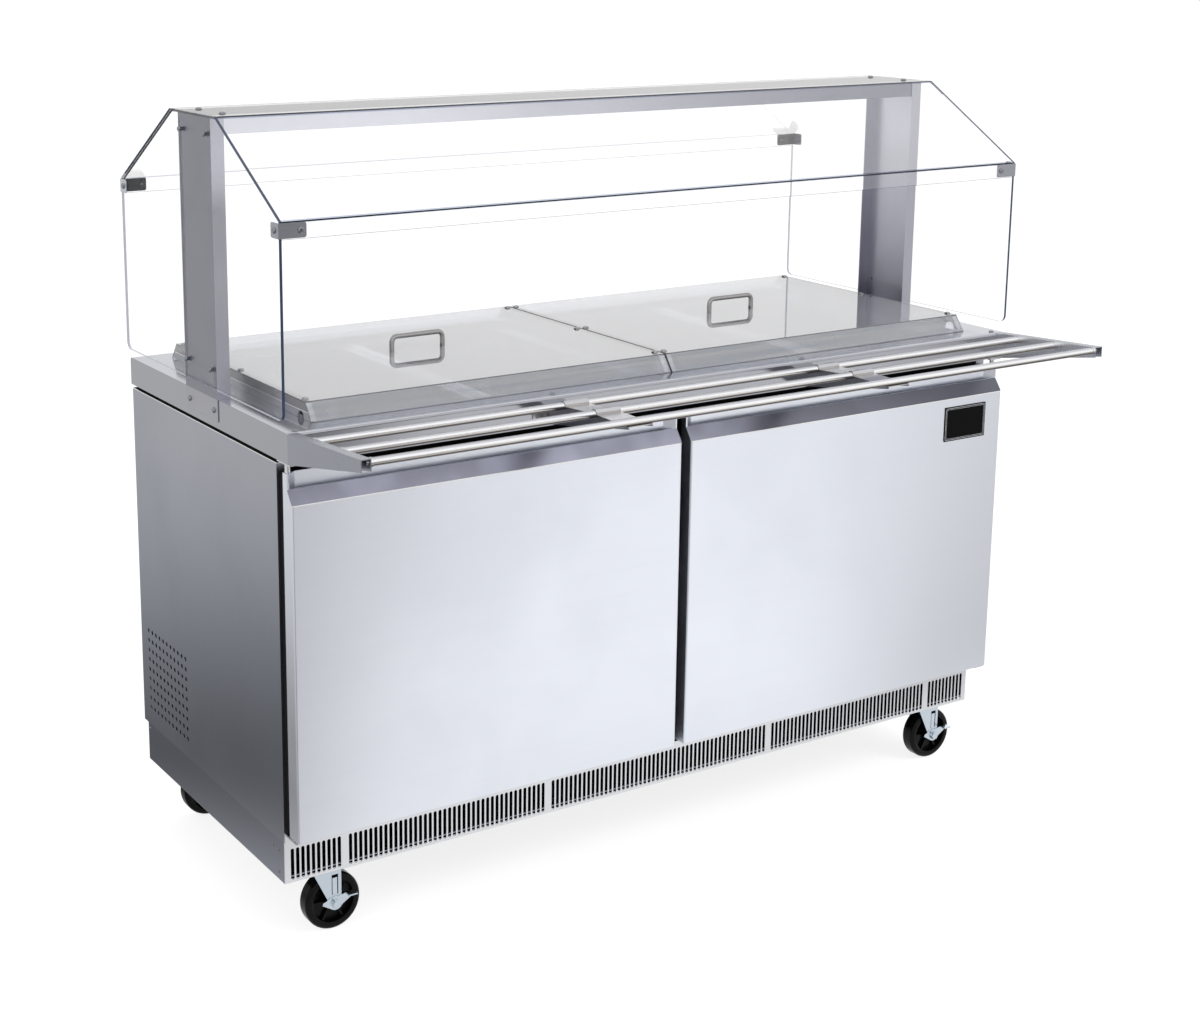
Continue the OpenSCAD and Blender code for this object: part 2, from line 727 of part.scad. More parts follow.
module shelf_clips() color("gray") place() both_sides() {
    low = shelf_z - frame_r - 8;
    high = shelf_z - frame_r;
    for (y = [shelf_y[0] + 40, shelf_y[1] - 50]) {
        block([room_x - liner_t - 14, y - 8, low], [room_x - liner_t, y + 8, high]);
        block([room_x - liner_t - 3, y - 8, high], [room_x - liner_t, y + 8, high + 90]);
    }
    block([shelf_x[0] - 8, room_y0, low], [shelf_x[0] + 8, shelf_y[0] + 6, high]);
    block([shelf_x[0] - 8, shelf_y[1] - 6, low], [shelf_x[0] + 8, room_y1 - liner_t, high]);
}

// Hinges: four fixed brackets, each with a pin in the door

module hinge_plate(z) {
    along_z(z, z + hinge_t) soft_rect([pin_x - 22, pin_y - 18], [pin_x + 6, cab_front], 3);
}

module hinge_brackets() color("gainsboro") place() both_sides() {
    top_z = deck_low - hinge_t - seat;
    hinge_plate(top_z);
    block([pin_x - 22, cab_front - 16, top_z + 1], [deck_x - deck_flange - seat, cab_front, deck_low + sheet]);
    rod_z(pin_x, pin_y, door_top - pin_in, top_z + 1, pin_r);
    rod_z(pin_x, pin_y, door_top + seat, top_z + 1, pin_r + 1.5);
    low_z = door_z - 1 - hinge_t;
    hinge_plate(low_z);
    block([pin_x - 22, cab_front - hinge_t, cab_low], [pin_x + 6, cab_front, low_z + 1]);
    rod_z(pin_x, pin_y, low_z + 1, door_z + pin_in, pin_r);
}

// Screws of the worktop, the base and the back, and the bolts of the tray tubes

// Puts a child at each screw of the base, on the outer face of its right side
module at_base_screws() {
    for (p = [[base_y0 + 46, 51], [base_y0 + 24, 51], [base_y0 + 24, 12.2], [base_y1 - 8, 62.5]])
        translate([cab_x, p[0], base_z + p[1]]) rotate([0, 90, 0]) children();
}

module at_deck_screws() {
    for (x = deck_screw_x) translate([x, -deck_y + 13, deck_h]) children();
}

module at_back_screws() {
    for (x = mid_steps(4, (cab_w - 60) / 3))
        translate([x, cab_rear, cab_high - 14]) rotate([-90, 0, 0]) children();
}

module tray_bolts() for (i = [0 : 2]) {
    rod_x(tube_x + sheet, tube_x + sheet + 5, tube_y[i], tube_z[i], bolt_r);
    rod_x(tube_x - 1, tube_x + sheet + 1, tube_y[i], tube_z[i], 3);
    rod_x(tube_x - 14, tube_x, tube_y[i], tube_z[i], tube_d / 2 - sheet);
}

module case_screws() color("silver") place() {
    both_sides() {
        at_deck_screws() dome_screw(5, screw_h, 2.4, sheet);
        at_base_screws() dome_screw(3.5, 1.4, 1.6, skin);
        tray_bolts();
    }
    at_back_screws() dome_screw(3.5, 0.9, 1.6, skin);
}

// Inlet for the power cord, in the rear of the base
module cord_gland() color("black") place() {
    rod_y(-cab_x + 120, base_y1, base_y1 + 4, base_z + 44, 13);
    difference() {
        rod_y(-cab_x + 120, base_y1 + 4, base_y1 + 15, base_z + 44, 10);
        rod_y(-cab_x + 120, base_y1 + 1, base_y1 + 16, base_z + 44, 5);
    }
}

// Sneeze guard

module guard_outline(t) {
    lean = atan2(guard_drop, guard_y - shoulder_y);
    in_shoulder = t * tan(lean / 2);
    in_lip = t * tan((90 - lean) / 2);
    points = [[guard_y - t, lip_low - (t > 0 ? cut : 0)], [guard_y - t, shoulder_z - in_lip], [shoulder_y - in_shoulder, guard_h - t]];
    polygon(concat(points, [for (i = [2 : -1 : 0]) [-points[i][0], points[i][1]]]));
}

module guard_sheet() color("lightblue", 0.4) place() difference() {
    along_x(-post_x + seat, post_x - seat) difference() {
        guard_outline(0);
        guard_outline(glass_t);
    }
    both_sides() for (side = [-1, 1]) {
        rod_z(beam_screw[0], side * beam_screw[1], post_top - 1, guard_h + 1, 3.2);
        rod_y(corner_x, side * (guard_y - glass_t / 2) - glass_t, side * (guard_y - glass_t / 2) + glass_t, corner_z, 3.2);
    }
}

module glass_holes() {
    for (y = [-screw_y, screw_y])
        for (z = guard_screw_z)
            rod_x(deck_x - 5, glass_x + 5, y, z, 3.2);
}

module end_glass() {
    r = 14;
    difference() {
        along_x(post_x, glass_x) polygon(concat(
            [[-shoulder_y, guard_h], [-guard_y, shoulder_z]],
            arc([-guard_y + r, glass_low + r], r, 180, 270),
            arc([guard_y - r, glass_low + r], r, 270, 360),
            [[guard_y, shoulder_z], [shoulder_y, guard_h]]
        ));
        glass_holes();
        for (y = [-guard_y + 13, guard_y - 13]) rod_x(post_x - 1, glass_x + 1, y, corner_z, 3.2);
    }
}

module end_glass_left() color("lightblue", 0.4) place() mirror([1, 0, 0]) end_glass();
module end_glass_right() color("lightblue", 0.4) place() end_glass();

// Post: a channel with its web outside, which laps down over the worktop edge
module guard_post() difference() {
    union() {
        block([deck_x, -post_y, deck_low + 12], [post_x, post_y, post_top]);
        for (side = [-1, 1])
            block([post_x - post_d, side * post_y - (side > 0 ? sheet : 0), deck_h],
                [post_x - sheet / 2, side * post_y + (side < 0 ? sheet : 0), post_top]);
    }
    glass_holes();
    for (y = [-screw_y, screw_y]) rod_x(deck_x - 1, post_x + 1, y, deck_h - 20, 2.7);
}

module guard_posts() color("gainsboro") place() both_sides() guard_post();

module top_beam() color("gainsboro") place() difference() {
    x = deck_x - seat;
    y = post_y - sheet - seat;
    block([-x, -y, post_top - beam_h], [x, y, post_top]);
    block([-x - cut, -y + sheet, post_top - beam_h - cut], [x + cut, y - sheet, post_top - sheet]);
    both_sides() for (side = [-1, 1])
        rod_z(beam_screw[0], side * beam_screw[1], post_top - 5, post_top + 5, 2.7);
}

// Angle that ties the front or rear lip to the end sheet, with one corner outside
module corner_bracket() {
    low = corner_z - 12;
    high = corner_z + 12;
    difference() {
        union() {
            along_y(-guard_y - sheet, -guard_y)
                soft_rect([glass_x - 46, low], [glass_x + sheet, high], 4);
            along_x(glass_x, glass_x + sheet)
                soft_rect([-guard_y - sheet, low], [-guard_y + 25, high], 4);
            block([glass_x - 6, -guard_y - sheet, low], [glass_x + sheet, -guard_y, high]);
            block([glass_x, -guard_y - sheet, low], [glass_x + sheet, -guard_y + 6, high]);
        }
        rod_x(glass_x - 1, glass_x + 5, -guard_y + 13, corner_z, 2.7);
        rod_y(corner_x, -guard_y - 5, -guard_y + 1, corner_z, 2.7);
    }
}

module corner_brackets() color("silver") place() both_sides() {
    corner_bracket();
    mirror([0, 1, 0]) corner_bracket();
}

module guard_screws() color("silver") place() both_sides() {
    through = glass_t + sheet;
    for (y = [-screw_y, screw_y]) {
        for (z = guard_screw_z)
            translate([glass_x, y, z]) rotate([0, 90, 0]) dome_screw(5, screw_h, 2.5, through);
        translate([post_x, y, deck_h - 20]) rotate([0, 90, 0]) dome_screw(5, screw_h, 2.5, sheet);
    }
    for (side = [-1, 1]) {
        translate([beam_screw[0], side * beam_screw[1], guard_h]) dome_screw(6, screw_h, 2.5, through);
        translate([glass_x + sheet, side * (guard_y - 13), corner_z]) rotate([0, 90, 0]) dome_screw(5.5, screw_h, 2.5, through);
        translate([corner_x, side * (guard_y + sheet), corner_z]) rotate([-side * 90, 0, 0]) dome_screw(5.5, screw_h, 2.5, through);
    }
}

// Tray slide: tapered brackets, three tubes and two formed middle brackets

module arm_outline(t) {
    polygon([[-deck_y, deck_low], [-deck_y, deck_h - t], [tray_y, arm_top - t], [tray_y, arm_top - arm_tip]]);
}

module tray_end_brackets() color("silver") place() both_sides() difference() {
    along_x(deck_x - arm_w, deck_x) arm_outline(0);
    along_x(deck_x - arm_w + sheet, deck_x - sheet)
        polygon([[-deck_y - sheet, deck_low - 20], [-deck_y - sheet, deck_h - sheet - 0.2],
            [tray_y - cut, arm_top - sheet], [tray_y - cut, arm_top - arm_tip - 30]]);
    for (i = [0 : 2]) rod_x(tube_x - 1, tube_x + sheet + 1, tube_y[i], tube_z[i], 3.2);
}

module tray_tubes() color("gainsboro") place() for (i = [0 : 2]) difference() {
    union() {
        rod_x(-tube_x, tube_x, tube_y[i], tube_z[i], tube_d / 2);
        for (x = [-tube_x, tube_x - collar_w]) rod_x(x, x + collar_w, tube_y[i], tube_z[i], tube_d / 2 + 1);
    }
    rod_x(-tube_x - cut, tube_x + cut, tube_y[i], tube_z[i], tube_d / 2 - sheet);
}

// Outline of a middle bracket: a strap over two tubes and under the third, on two side plates
module mid_outline(t) {
    r = tube_d / 2 + sheet - t;
    low = tube_z[2] - tube_d / 2;
    end = tube_y[2] - 4 - (t > 0 ? cut : 0);
    past = t > 0 ? 20 : 0;
    polygon(concat(
        [[-deck_y, deck_low + 4 - past], [-deck_y, tube_z[0] - 10 - t]],
        arc([tube_y[0], tube_z[0] - t], r, 0, 180),
        arc([tube_y[1], tube_z[1] - t], r, 0, 180),
        [[tube_y[2] + tube_d / 2 + 3, low - t], [end, low - t], [end, low - 4.5 - past]]
    ));
}

module tray_mid_brackets() color("silver") place() both_sides() {
    x0 = mid_span / 2 - mid_w / 2;
    difference() {
        along_x(x0, x0 + mid_w) mid_outline(0);
        along_x(x0 + sheet, x0 + mid_w - sheet) difference() {
            mid_outline(sheet);
            translate([-deck_y - sheet, deck_low]) square([sheet, deck_edge]);
        }
        for (i = [0 : 1]) rod_x(x0 - 1, x0 + mid_w + 1, tube_y[i], tube_z[i], tube_d / 2);
    }
    // Mounting ear with a slot and two holes
    along_y(-deck_y - sheet, -deck_y) difference() {
        translate([x0 + mid_w, deck_low + 4]) square([24, 26]);
        translate([x0 + mid_w + 4, deck_low + 10]) square([3.2, 14]);
        translate([x0 + mid_w + 16, deck_low + 17]) circle(d = 5);
    }
}

// Casters

module caster_plate() {
    difference() {
        along_z(pan_floor - plate_t, pan_floor) soft_rect([-plate_l / 2, -plate_w / 2], [plate_l / 2, plate_w / 2], 5);
        for (x = [-1, 1])
            for (y = [-1, 1])
                rod_z(x * (plate_l / 2 - 10), y * (plate_w / 2 - 9), pan_floor - 10, pan_floor + 1, 4.2);
    }
    rod_z(0, 0, crown_z + seat, pan_floor - plate_t / 2, 24);
    rod_z(0, 0, crown_z - crown_t - 3.6, crown_z + 1, king_r);
    rod_z(0, 0, crown_z - crown_t - 3.8, crown_z - crown_t - seat, king_r + 3.5);
    for (x = [-1, 1])
        for (y = [-1, 1])
            translate([x * (plate_l / 2 - 10), y * (plate_w / 2 - 9), pan_floor - plate_t]) mirror([0, 0, 1])
                dome_screw(6.5, 5, 4, plate_t);
}

module caster_plates() color("silver") place() for (p = casters) translate([p[0], p[1], 0]) caster_plate();

// Leg of a fork: wide at the top, with its rear edge upright over the axle
module leg_outline() {
    top = crown_z - crown_t / 2;
    translate([trail, axle_z]) circle(r = 12);
    polygon([[trail - 42, top], [trail + 12, top], [trail + 12, axle_z], [trail - 9.5, axle_z - 7], [trail - 11.5, axle_z + 2]]);
}

module caster_fork() {
    difference() {
        union() {
            intersection() {
                along_z(crown_z - crown_t, crown_z) soft_rect([trail - 42, -leg_y - leg_t], [trail + 12, leg_y + leg_t], 6);
                rod_z(0, 0, crown_z - 10, crown_z + 1, 34);
            }
            for (side = [-1, 1])
                along_y(side * (leg_y + leg_t / 2) - leg_t / 2, side * (leg_y + leg_t / 2) + leg_t / 2) difference() {
                    leg_outline();
                    translate([trail - 6, axle_z + 15]) square([12, 36]);
                }
        }
        rod_z(0, 0, crown_z - 10, crown_z + 1, king_r + play);
        rod_y(trail, -leg_y - 5, leg_y + 5, axle_z, axle_r);
    }
    // Leaf spring in the slot of the front leg
    block([trail - 4.5, -leg_y - leg_t + 0.5, axle_z + 14.5], [trail + 4.5, -leg_y - 1, axle_z + 45]);
    // Axle bolt with its head and its nut
    rod_y(trail, -leg_y - leg_t - pedal_t - 2 * seat, leg_y + leg_t + 1, axle_z, axle_r);
    translate([trail, -leg_y - leg_t - pedal_t - 2 * seat, axle_z]) rotate([90, 0, 0]) cylinder(h = 5, r = 8, $fn = 6);
    translate([trail, leg_y + leg_t + 5, axle_z]) rotate([90, 0, 0]) cylinder(h = 5, r = 8, $fn = 6);
}

module wheel() {
    r = wheel_d / 2;
    h = wheel_w / 2;
    translate([trail, 0, axle_z]) rotate([90, 0, 0]) difference() {
        union() {
            rotate_extrude($fn = 96) polygon(concat(
                [[12, -hub_y], [14.5, -hub_y], [16, -4], [r - 15, -4], [r - 13, -h + 1], [r - 11, -h]],
                arc([r - 7, -h + 7], 7, -90, 0),
                arc([r - 7, h - 7], 7, 0, 90),
                [[r - 11, h], [r - 13, h - 1], [r - 15, 4], [16, 4], [14.5, hub_y], [12, hub_y]]
            ));
            cylinder(h = 2 * hub_y, r = 13, center = true);
            for (a = [0 : 60 : 300])
                rotate([0, 0, a]) translate([13.5, -2, -h + 5]) cube([r - 27, 4, 2 * h - 10]);
        }
        cylinder(h = 3 * hub_y, r = axle_r + play, center = true);
    }
}

// Foot lever with two wings, the right one carrying a flat tread
module brake_pedal() {
    y1 = -leg_y - leg_t - seat;
    y0 = y1 - pedal_t;
    difference() {
        union() {
            along_y(y0, y1) translate([trail, axle_z]) {
                circle(r = 12);
                polygon([[-8, 11], [-24, 5], [-25, 1], [-7, -10]]);
                polygon([[5, 11], [20, 15], [34, 15], [36, 12], [26, 4], [14, -3], [6, -10]]);
            }
            block([trail + 19, y0 - 12, axle_z + 12.5], [trail + 35, y1, axle_z + 15]);
        }
        rod_y(trail, y0 - 1, y1 + 1, axle_z, axle_r + play);
    }
}

module caster_at(i) place() translate([casters[i][0], casters[i][1], 0]) children();

module caster_fork_fl() color("lightsteelblue") caster_at(0) caster_fork();
module caster_fork_fr() color("lightsteelblue") caster_at(1) caster_fork();
module caster_fork_rl() color("lightsteelblue") caster_at(2) caster_fork();
module caster_fork_rr() color("lightsteelblue") caster_at(3) caster_fork();
module caster_wheel_fl() color("black") caster_at(0) wheel();
module caster_wheel_fr() color("black") caster_at(1) wheel();
module caster_wheel_rl() color("black") caster_at(2) wheel();
module caster_wheel_rr() color("black") caster_at(3) wheel();
module brake_pedal_fl() color("lightsteelblue") caster_at(0) brake_pedal();
module brake_pedal_fr() color("lightsteelblue") caster_at(1) brake_pedal();

// Doors, drawn for the right side and mirrored for the left one

// Side view: the bevel of the finger pull leans back from the front to a lip
module door_profile() {
    polygon([[door_front, door_z], [door_front, pull_z], [lip_y, lip_z], [lip_y, door_top], [door_back, door_top], [door_back, door_z]]);
}

module door_panel() {
    r = 3;
    wall_y = door_back - door_skin;
    difference() {
        intersection() {
            along_x(door_x0, door_x1) door_profile();
            along_z(door_z, door_top) {
                soft_rect([door_x0, door_front], [door_x1, door_back], r);
                translate([door_x0, door_front + r]) square([door_x1 - door_x0, door_t - r]);
            }
        }
        // Finger pull: a trough behind the bevel, with slanted ends
        intersection() {
            along_x(door_x0, door_x1)
                polygon([[wall_y, door_top + cut], [wall_y, pull_z - 2], [door_front + 4, pull_z - 2],
                    [door_front + 4, pull_z + 1], [lip_y + 2, lip_z - 2], [lip_y + 2, lip_z],
                    [lip_y - cut, lip_z], [lip_y - cut, door_top + cut]]);
            along_z(pull_z - 10, door_top + 2 * cut)
                polygon([[door_x0 + pull_slant, wall_y], [door_x0 + pull_end, lip_y + 1], [door_x0 + pull_end, door_front],
                    [door_x1 - pull_end, door_front], [door_x1 - pull_end, lip_y + 1], [door_x1 - pull_slant, wall_y]]);
        }
        rod_z(pin_x, pin_y, door_top - pin_in - 1, door_top + 1, pin_r + play);
        rod_z(pin_x, pin_y, door_z - 1, door_z + pin_in + 1, pin_r + play);
    }
    // Rolled lip of the finger pull
    rod_x(door_x0 + 1, door_x1 - 1, lip_y + 1.4, lip_z - 1, 1.9);
}

module door_liner() {
    x = [door_x0 + 30, door_x1 - 30];
    z = [door_z + 30, door_top - 30];
    along_y(door_back, door_back + 12) difference() {
        soft_rect([x[0], z[0]], [x[1], z[1]], 14);
        soft_rect([x[0] + 14, z[0] + 14], [x[1] - 14, z[1] - 14], 8);
    }
    along_y(door_back, door_back + 4) soft_rect([x[0] + 13, z[0] + 13], [x[1] - 13, z[1] - 13], 8);
}

module door_gasket() {
    x = [door_x0 + gasket_in, door_x1 - gasket_in];
    z = [door_z + gasket_in, door_top - gasket_in];
    along_y(door_back, cab_front - seat) difference() {
        soft_rect([x[0], z[0]], [x[1], z[1]], 5);
        soft_rect([x[0] + gasket_w, z[0] + gasket_w], [x[1] - gasket_w, z[1] - gasket_w], 5);
    }
}

module door_left() color("gainsboro") place() mirror([1, 0, 0]) door_panel();
module door_right() color("gainsboro") place() door_panel();
module door_liner_left() color("white") place() mirror([1, 0, 0]) door_liner();
module door_liner_right() color("white") place() door_liner();
module door_gasket_left() color("black") place() mirror([1, 0, 0]) door_gasket();
module door_gasket_right() color("black") place() door_gasket();

// Bare plate on the right door
module name_plate() color("black") place() {
    x = door_x1 - 94;
    z = pull_z - 49;
    along_y(door_front - 1.2, door_front) soft_rect([x - 53, z - 33.5], [x + 53, z + 33.5], 2);
}

// Lids: a bent clear sheet on two steel end plates, with a rod handle

module lid_outline(t) {
    lean = atan2(lid_h, lid_slope);
    in_top = t * tan(lean / 2);
    in_low = t / sin(lean);
    polygon([[-lid_y + in_low, lid_low - (t > 0 ? cut : 0)], [-lid_y + lid_slope + in_top, lid_top - t],
        [lid_y - lid_slope - in_top, lid_top - t], [lid_y - in_low, lid_low - (t > 0 ? cut : 0)]]);
}

module lid_shape() along_x(lid_x0, lid_x1) difference() {
    lid_outline(0);
    lid_outline(lid_t);
}

// Steel plate under the end of the clear sheet, with a notch at each end and a bent flange
module lid_plate(x, side) {
    x0 = side > 0 ? x - 10 : x;
    x1 = x0 + 10 + sheet;
    difference() {
        union() {
            along_x(x, x + sheet) lid_plate_outline(lid_t);
            along_x(x0, x1) difference() {
                lid_plate_outline(lid_t);
                lid_plate_outline(lid_t + sheet);
            }
        }
        rod_x(x0 - cut, x1 + cut, -lid_y + 38, lid_low, 11.5);
        block([x0 - cut, lid_y - 21, lid_low - cut], [x1 + cut, lid_y, lid_low + 3]);
    }
}

module lid_plate_outline(t) {
    intersection() {
        lid_outline(t);
        translate([-lid_y, lid_low]) square([2 * lid_y, lid_h]);
    }
}

// Quarter of a ring in the XY plane, to the right or the left of the Y axis
module quarter_ring(bend, r, side) {
    reach = bend + r + cut;
    intersection() {
        rotate_extrude() translate([bend, 0]) circle(r = r, $fn = 24);
        translate([side > 0 ? 0 : -reach, 0, -reach]) cube([reach, reach, 2 * reach]);
    }
}

// Handle rod, bent at both ends, with its feet on the sheet
module lid_handle() {
    r = handle_d / 2;
    bend = 10;
    mid = (lid_x0 + lid_x1) / 2;
    reach = handle_w / 2 - r;
    top = lid_top + handle_h - r;
    for (side = [-1, 1]) {
        rod_z(mid + side * reach, 0, lid_top, top - bend, r);
        translate([mid + side * (reach - bend), 0, top - bend]) rotate([90, 0, 0])
            quarter_ring(bend, r, side);
        rod_z(mid + side * reach, 0, lid_top - lid_t - 4, lid_top - lid_t, r + 2);
    }
    rod_x(mid - reach + bend, mid + reach - bend, 0, top, r);
}

module lid_frame() {
    lid_plate(lid_x0, -1);
    lid_plate(lid_x1 - sheet, 1);
    lid_handle();
    for (x = [lid_x0 + 8, lid_x1 - 8])
        for (y = [-lid_y + lid_slope + 16, 0, lid_y - lid_slope - 16])
            translate([x, y, lid_top]) dome_screw(6, 3.2, 2, 0);
}

module lid_left() color("lightblue", 0.4) place() mirror([1, 0, 0]) lid_shape();
module lid_right() color("lightblue", 0.4) place() lid_shape();
module lid_frame_left() color("silver") place() mirror([1, 0, 0]) lid_frame();
module lid_frame_right() color("silver") place() lid_frame();

deck_top();
deck_core();
deck_seal();
food_pans();
adapter_bars();
cabinet_body();
cabinet_liner();
face_frame();
mullion();
side_panel_left();
side_panel_right();
back_panel();
rear_grille();
base_frame();
front_grille();
machine_base();
compressor();
condenser();
condenser_fan();
evaporator();
evaporator_cover();
evaporator_fan();
refrigerant_pipes();
wire_shelves();
shelf_clips();
hinge_brackets();
case_screws();
cord_gland();
guard_posts();
top_beam();
guard_sheet();
end_glass_left();
end_glass_right();
corner_brackets();
guard_screws();
tray_tubes();
tray_end_brackets();
tray_mid_brackets();
caster_plates();
door_left();
door_liner_left();
door_gasket_left();
door_right();
door_liner_right();
door_gasket_right();
name_plate();
lid_left();
lid_frame_left();
lid_right();
lid_frame_right();
caster_fork_fl();
caster_fork_fr();
caster_fork_rl();
caster_fork_rr();
caster_wheel_fl();
caster_wheel_fr();
caster_wheel_rl();
caster_wheel_rr();
brake_pedal_fl();
brake_pedal_fr();
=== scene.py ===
import math

import bmesh
import bpy
from mathutils import Matrix, Vector


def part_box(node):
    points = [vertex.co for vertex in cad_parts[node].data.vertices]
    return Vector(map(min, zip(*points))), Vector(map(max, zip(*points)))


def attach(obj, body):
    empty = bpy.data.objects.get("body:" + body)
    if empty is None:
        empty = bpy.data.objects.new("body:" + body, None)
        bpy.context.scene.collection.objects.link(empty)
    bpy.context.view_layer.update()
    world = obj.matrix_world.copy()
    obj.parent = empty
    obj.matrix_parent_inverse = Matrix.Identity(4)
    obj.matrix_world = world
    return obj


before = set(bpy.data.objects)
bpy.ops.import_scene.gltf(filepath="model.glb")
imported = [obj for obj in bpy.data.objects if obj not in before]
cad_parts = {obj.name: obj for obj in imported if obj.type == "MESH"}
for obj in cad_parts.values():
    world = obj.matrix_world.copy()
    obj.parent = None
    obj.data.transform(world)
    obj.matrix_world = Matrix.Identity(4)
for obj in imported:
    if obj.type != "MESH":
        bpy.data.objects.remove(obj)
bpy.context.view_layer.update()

MM = 0.001
Z_AXIS = Vector((0, 0, 1))

# The photograph's frame, in pixels, and the camera that fits it
PHOTO_W = 1200
PHOTO_H = 1034
FOCAL_PX = 1948.3
CENTRE_PX = (480.0, 350.0)
CAMERA_AT = Vector((-2.0171, -2.8311, 1.6385))
CAMERA_YAW = math.radians(-31.32)
CAMERA_PITCH = math.radians(-12.022)
CAMERA_ROLL = math.radians(0.085)
CAMERA_REACH = 100
SENSOR_W = 36.0


def add_camera():
    data = bpy.data.cameras.new("photo_camera")
    data.sensor_fit = "HORIZONTAL"
    data.sensor_width = SENSOR_W
    data.lens = FOCAL_PX * SENSOR_W / PHOTO_W
    data.shift_x = (PHOTO_W / 2 - CENTRE_PX[0]) / PHOTO_W
    data.shift_y = (CENTRE_PX[1] - PHOTO_H / 2) / PHOTO_W
    data.clip_end = CAMERA_REACH
    camera = bpy.data.objects.new("photo_camera", data)
    bpy.context.scene.collection.objects.link(camera)
    level = math.cos(CAMERA_PITCH)
    ahead = Vector((-level * math.sin(CAMERA_YAW), level * math.cos(CAMERA_YAW), math.sin(CAMERA_PITCH)))
    right = ahead.cross(Z_AXIS).normalized()
    up = right.cross(ahead)
    turned_right = right * math.cos(CAMERA_ROLL) + up * math.sin(CAMERA_ROLL)
    turned_up = up * math.cos(CAMERA_ROLL) - right * math.sin(CAMERA_ROLL)
    turn = Matrix((turned_right, turned_up, -ahead)).transposed()
    camera.matrix_world = Matrix.Translation(CAMERA_AT) @ turn.to_4x4()
    bpy.context.scene.camera = camera


# Node trees


def add_node(tree, kind, **values):
    """A node of that kind, with its properties set and its inputs filled or linked."""
    node = tree.nodes.new(kind)
    for key, value in values.items():
        if hasattr(node, key) and key not in node.inputs:
            setattr(node, key, value)
        else:
            fill(tree, node, key, value)
    return node


def fill(tree, node, key, value):
    """Sets an input by name or number, or links it where the value is a socket."""
    if isinstance(value, bpy.types.NodeSocket):
        tree.links.new(value, node.inputs[key])
    else:
        node.inputs[key].default_value = value


def math_node(tree, operation, a, b=None, clamp=False):
    node = tree.nodes.new("ShaderNodeMath")
    node.operation = operation
    node.use_clamp = clamp
    fill(tree, node, 0, a)
    if b is not None:
        fill(tree, node, 1, b)
    return node.outputs[0]


def size_of(tree, value):
    return math_node(tree, "ABSOLUTE", value)


def mix_value(tree, factor, low, high):
    """low where the factor is 0, and high where it is 1."""
    node = tree.nodes.new("ShaderNodeMix")
    # A mix of numbers has its factor and its two values at these inputs
    for socket, value in ((0, factor), (2, low), (3, high)):
        fill(tree, node, socket, value)
    return node.outputs[0]


def mix_colour(tree, factor, low, high):
    """The colour low where the factor is 0, and high where it is 1. Each is three numbers or a socket."""
    node = add_node(tree, "ShaderNodeMix", data_type="RGBA")
    fill(tree, node, 0, factor)
    # A mix of colours has its two colours at these inputs, and its result at output 2
    for socket, colour in ((6, low), (7, high)):
        fill(tree, node, socket, colour if isinstance(colour, bpy.types.NodeSocket) else (*colour, 1))
    return node.outputs[2]


def ramp(tree, value, start, end):
    """0 at start, 1 at end, smooth between them, and level beyond them."""
    node = add_node(tree, "ShaderNodeMapRange", interpolation_type="SMOOTHSTEP")
    for socket, given in zip(("Value", "From Min", "From Max"), (value, start, end)):
        fill(tree, node, socket, given)
    return node.outputs[0]


def new_group(name, inputs, outputs):
    """A shader node group with named float or vector sockets."""
    group = bpy.data.node_groups.new(name, "ShaderNodeTree")
    for label, value in inputs:
        kind = "NodeSocketVector" if value is None else "NodeSocketFloat"
        socket = group.interface.new_socket(label, in_out="INPUT", socket_type=kind)
        if value is not None:
            socket.default_value = value
    for label in outputs:
        group.interface.new_socket(label, in_out="OUTPUT", socket_type="NodeSocketFloat")
    entry = group.nodes.new("NodeGroupInput")
    leave = group.nodes.new("NodeGroupOutput")
    return group, entry.outputs, leave


# Brushed grain: the share of the fine streaks and of the wide ones, and the scale of the wide
FINE_SHARE = 0.6
WIDE_SHARE = 0.4
WIDE_SCALE = 0.13


def brushed_grain_group():
    """Fine streaks along the X axis of the vector that goes in."""
    inputs = [("Vector", None), ("Length", 3.0), ("Fineness", 900.0), ("Contrast", 0.1)]
    group, given, leave = new_group("brushed_grain", inputs, ["Shade", "Height"])
    scale = add_node(group, "ShaderNodeCombineXYZ", X=given["Length"], Y=given["Fineness"],
                     Z=given["Fineness"])
    stretched = add_node(group, "ShaderNodeVectorMath", operation="MULTIPLY")
    group.links.new(given["Vector"], stretched.inputs[0])
    group.links.new(scale.outputs[0], stretched.inputs[1])
    fine = add_node(group, "ShaderNodeTexNoise", Vector=stretched.outputs[0], Scale=1.0,
                    Detail=3.0, Roughness=0.65)
    wide = add_node(group, "ShaderNodeTexNoise", Vector=stretched.outputs[0], Scale=WIDE_SCALE,
                    Detail=2.0, Roughness=0.5)
    both = math_node(group, "ADD", math_node(group, "MULTIPLY", fine.outputs["Fac"], FINE_SHARE),
                     math_node(group, "MULTIPLY", wide.outputs["Fac"], WIDE_SHARE))
    centred = math_node(group, "SUBTRACT", both, 0.5)
    shade = math_node(group, "ADD", math_node(group, "MULTIPLY", centred, given["Contrast"]), 1.0)
    group.links.new(shade, leave.inputs["Shade"])
    group.links.new(both, leave.inputs["Height"])
    return group


# Handling marks: the level of the cloud where a mark begins, and how steeply it rises from there
MARK_FROM = 0.42
MARK_RISE = 4.0


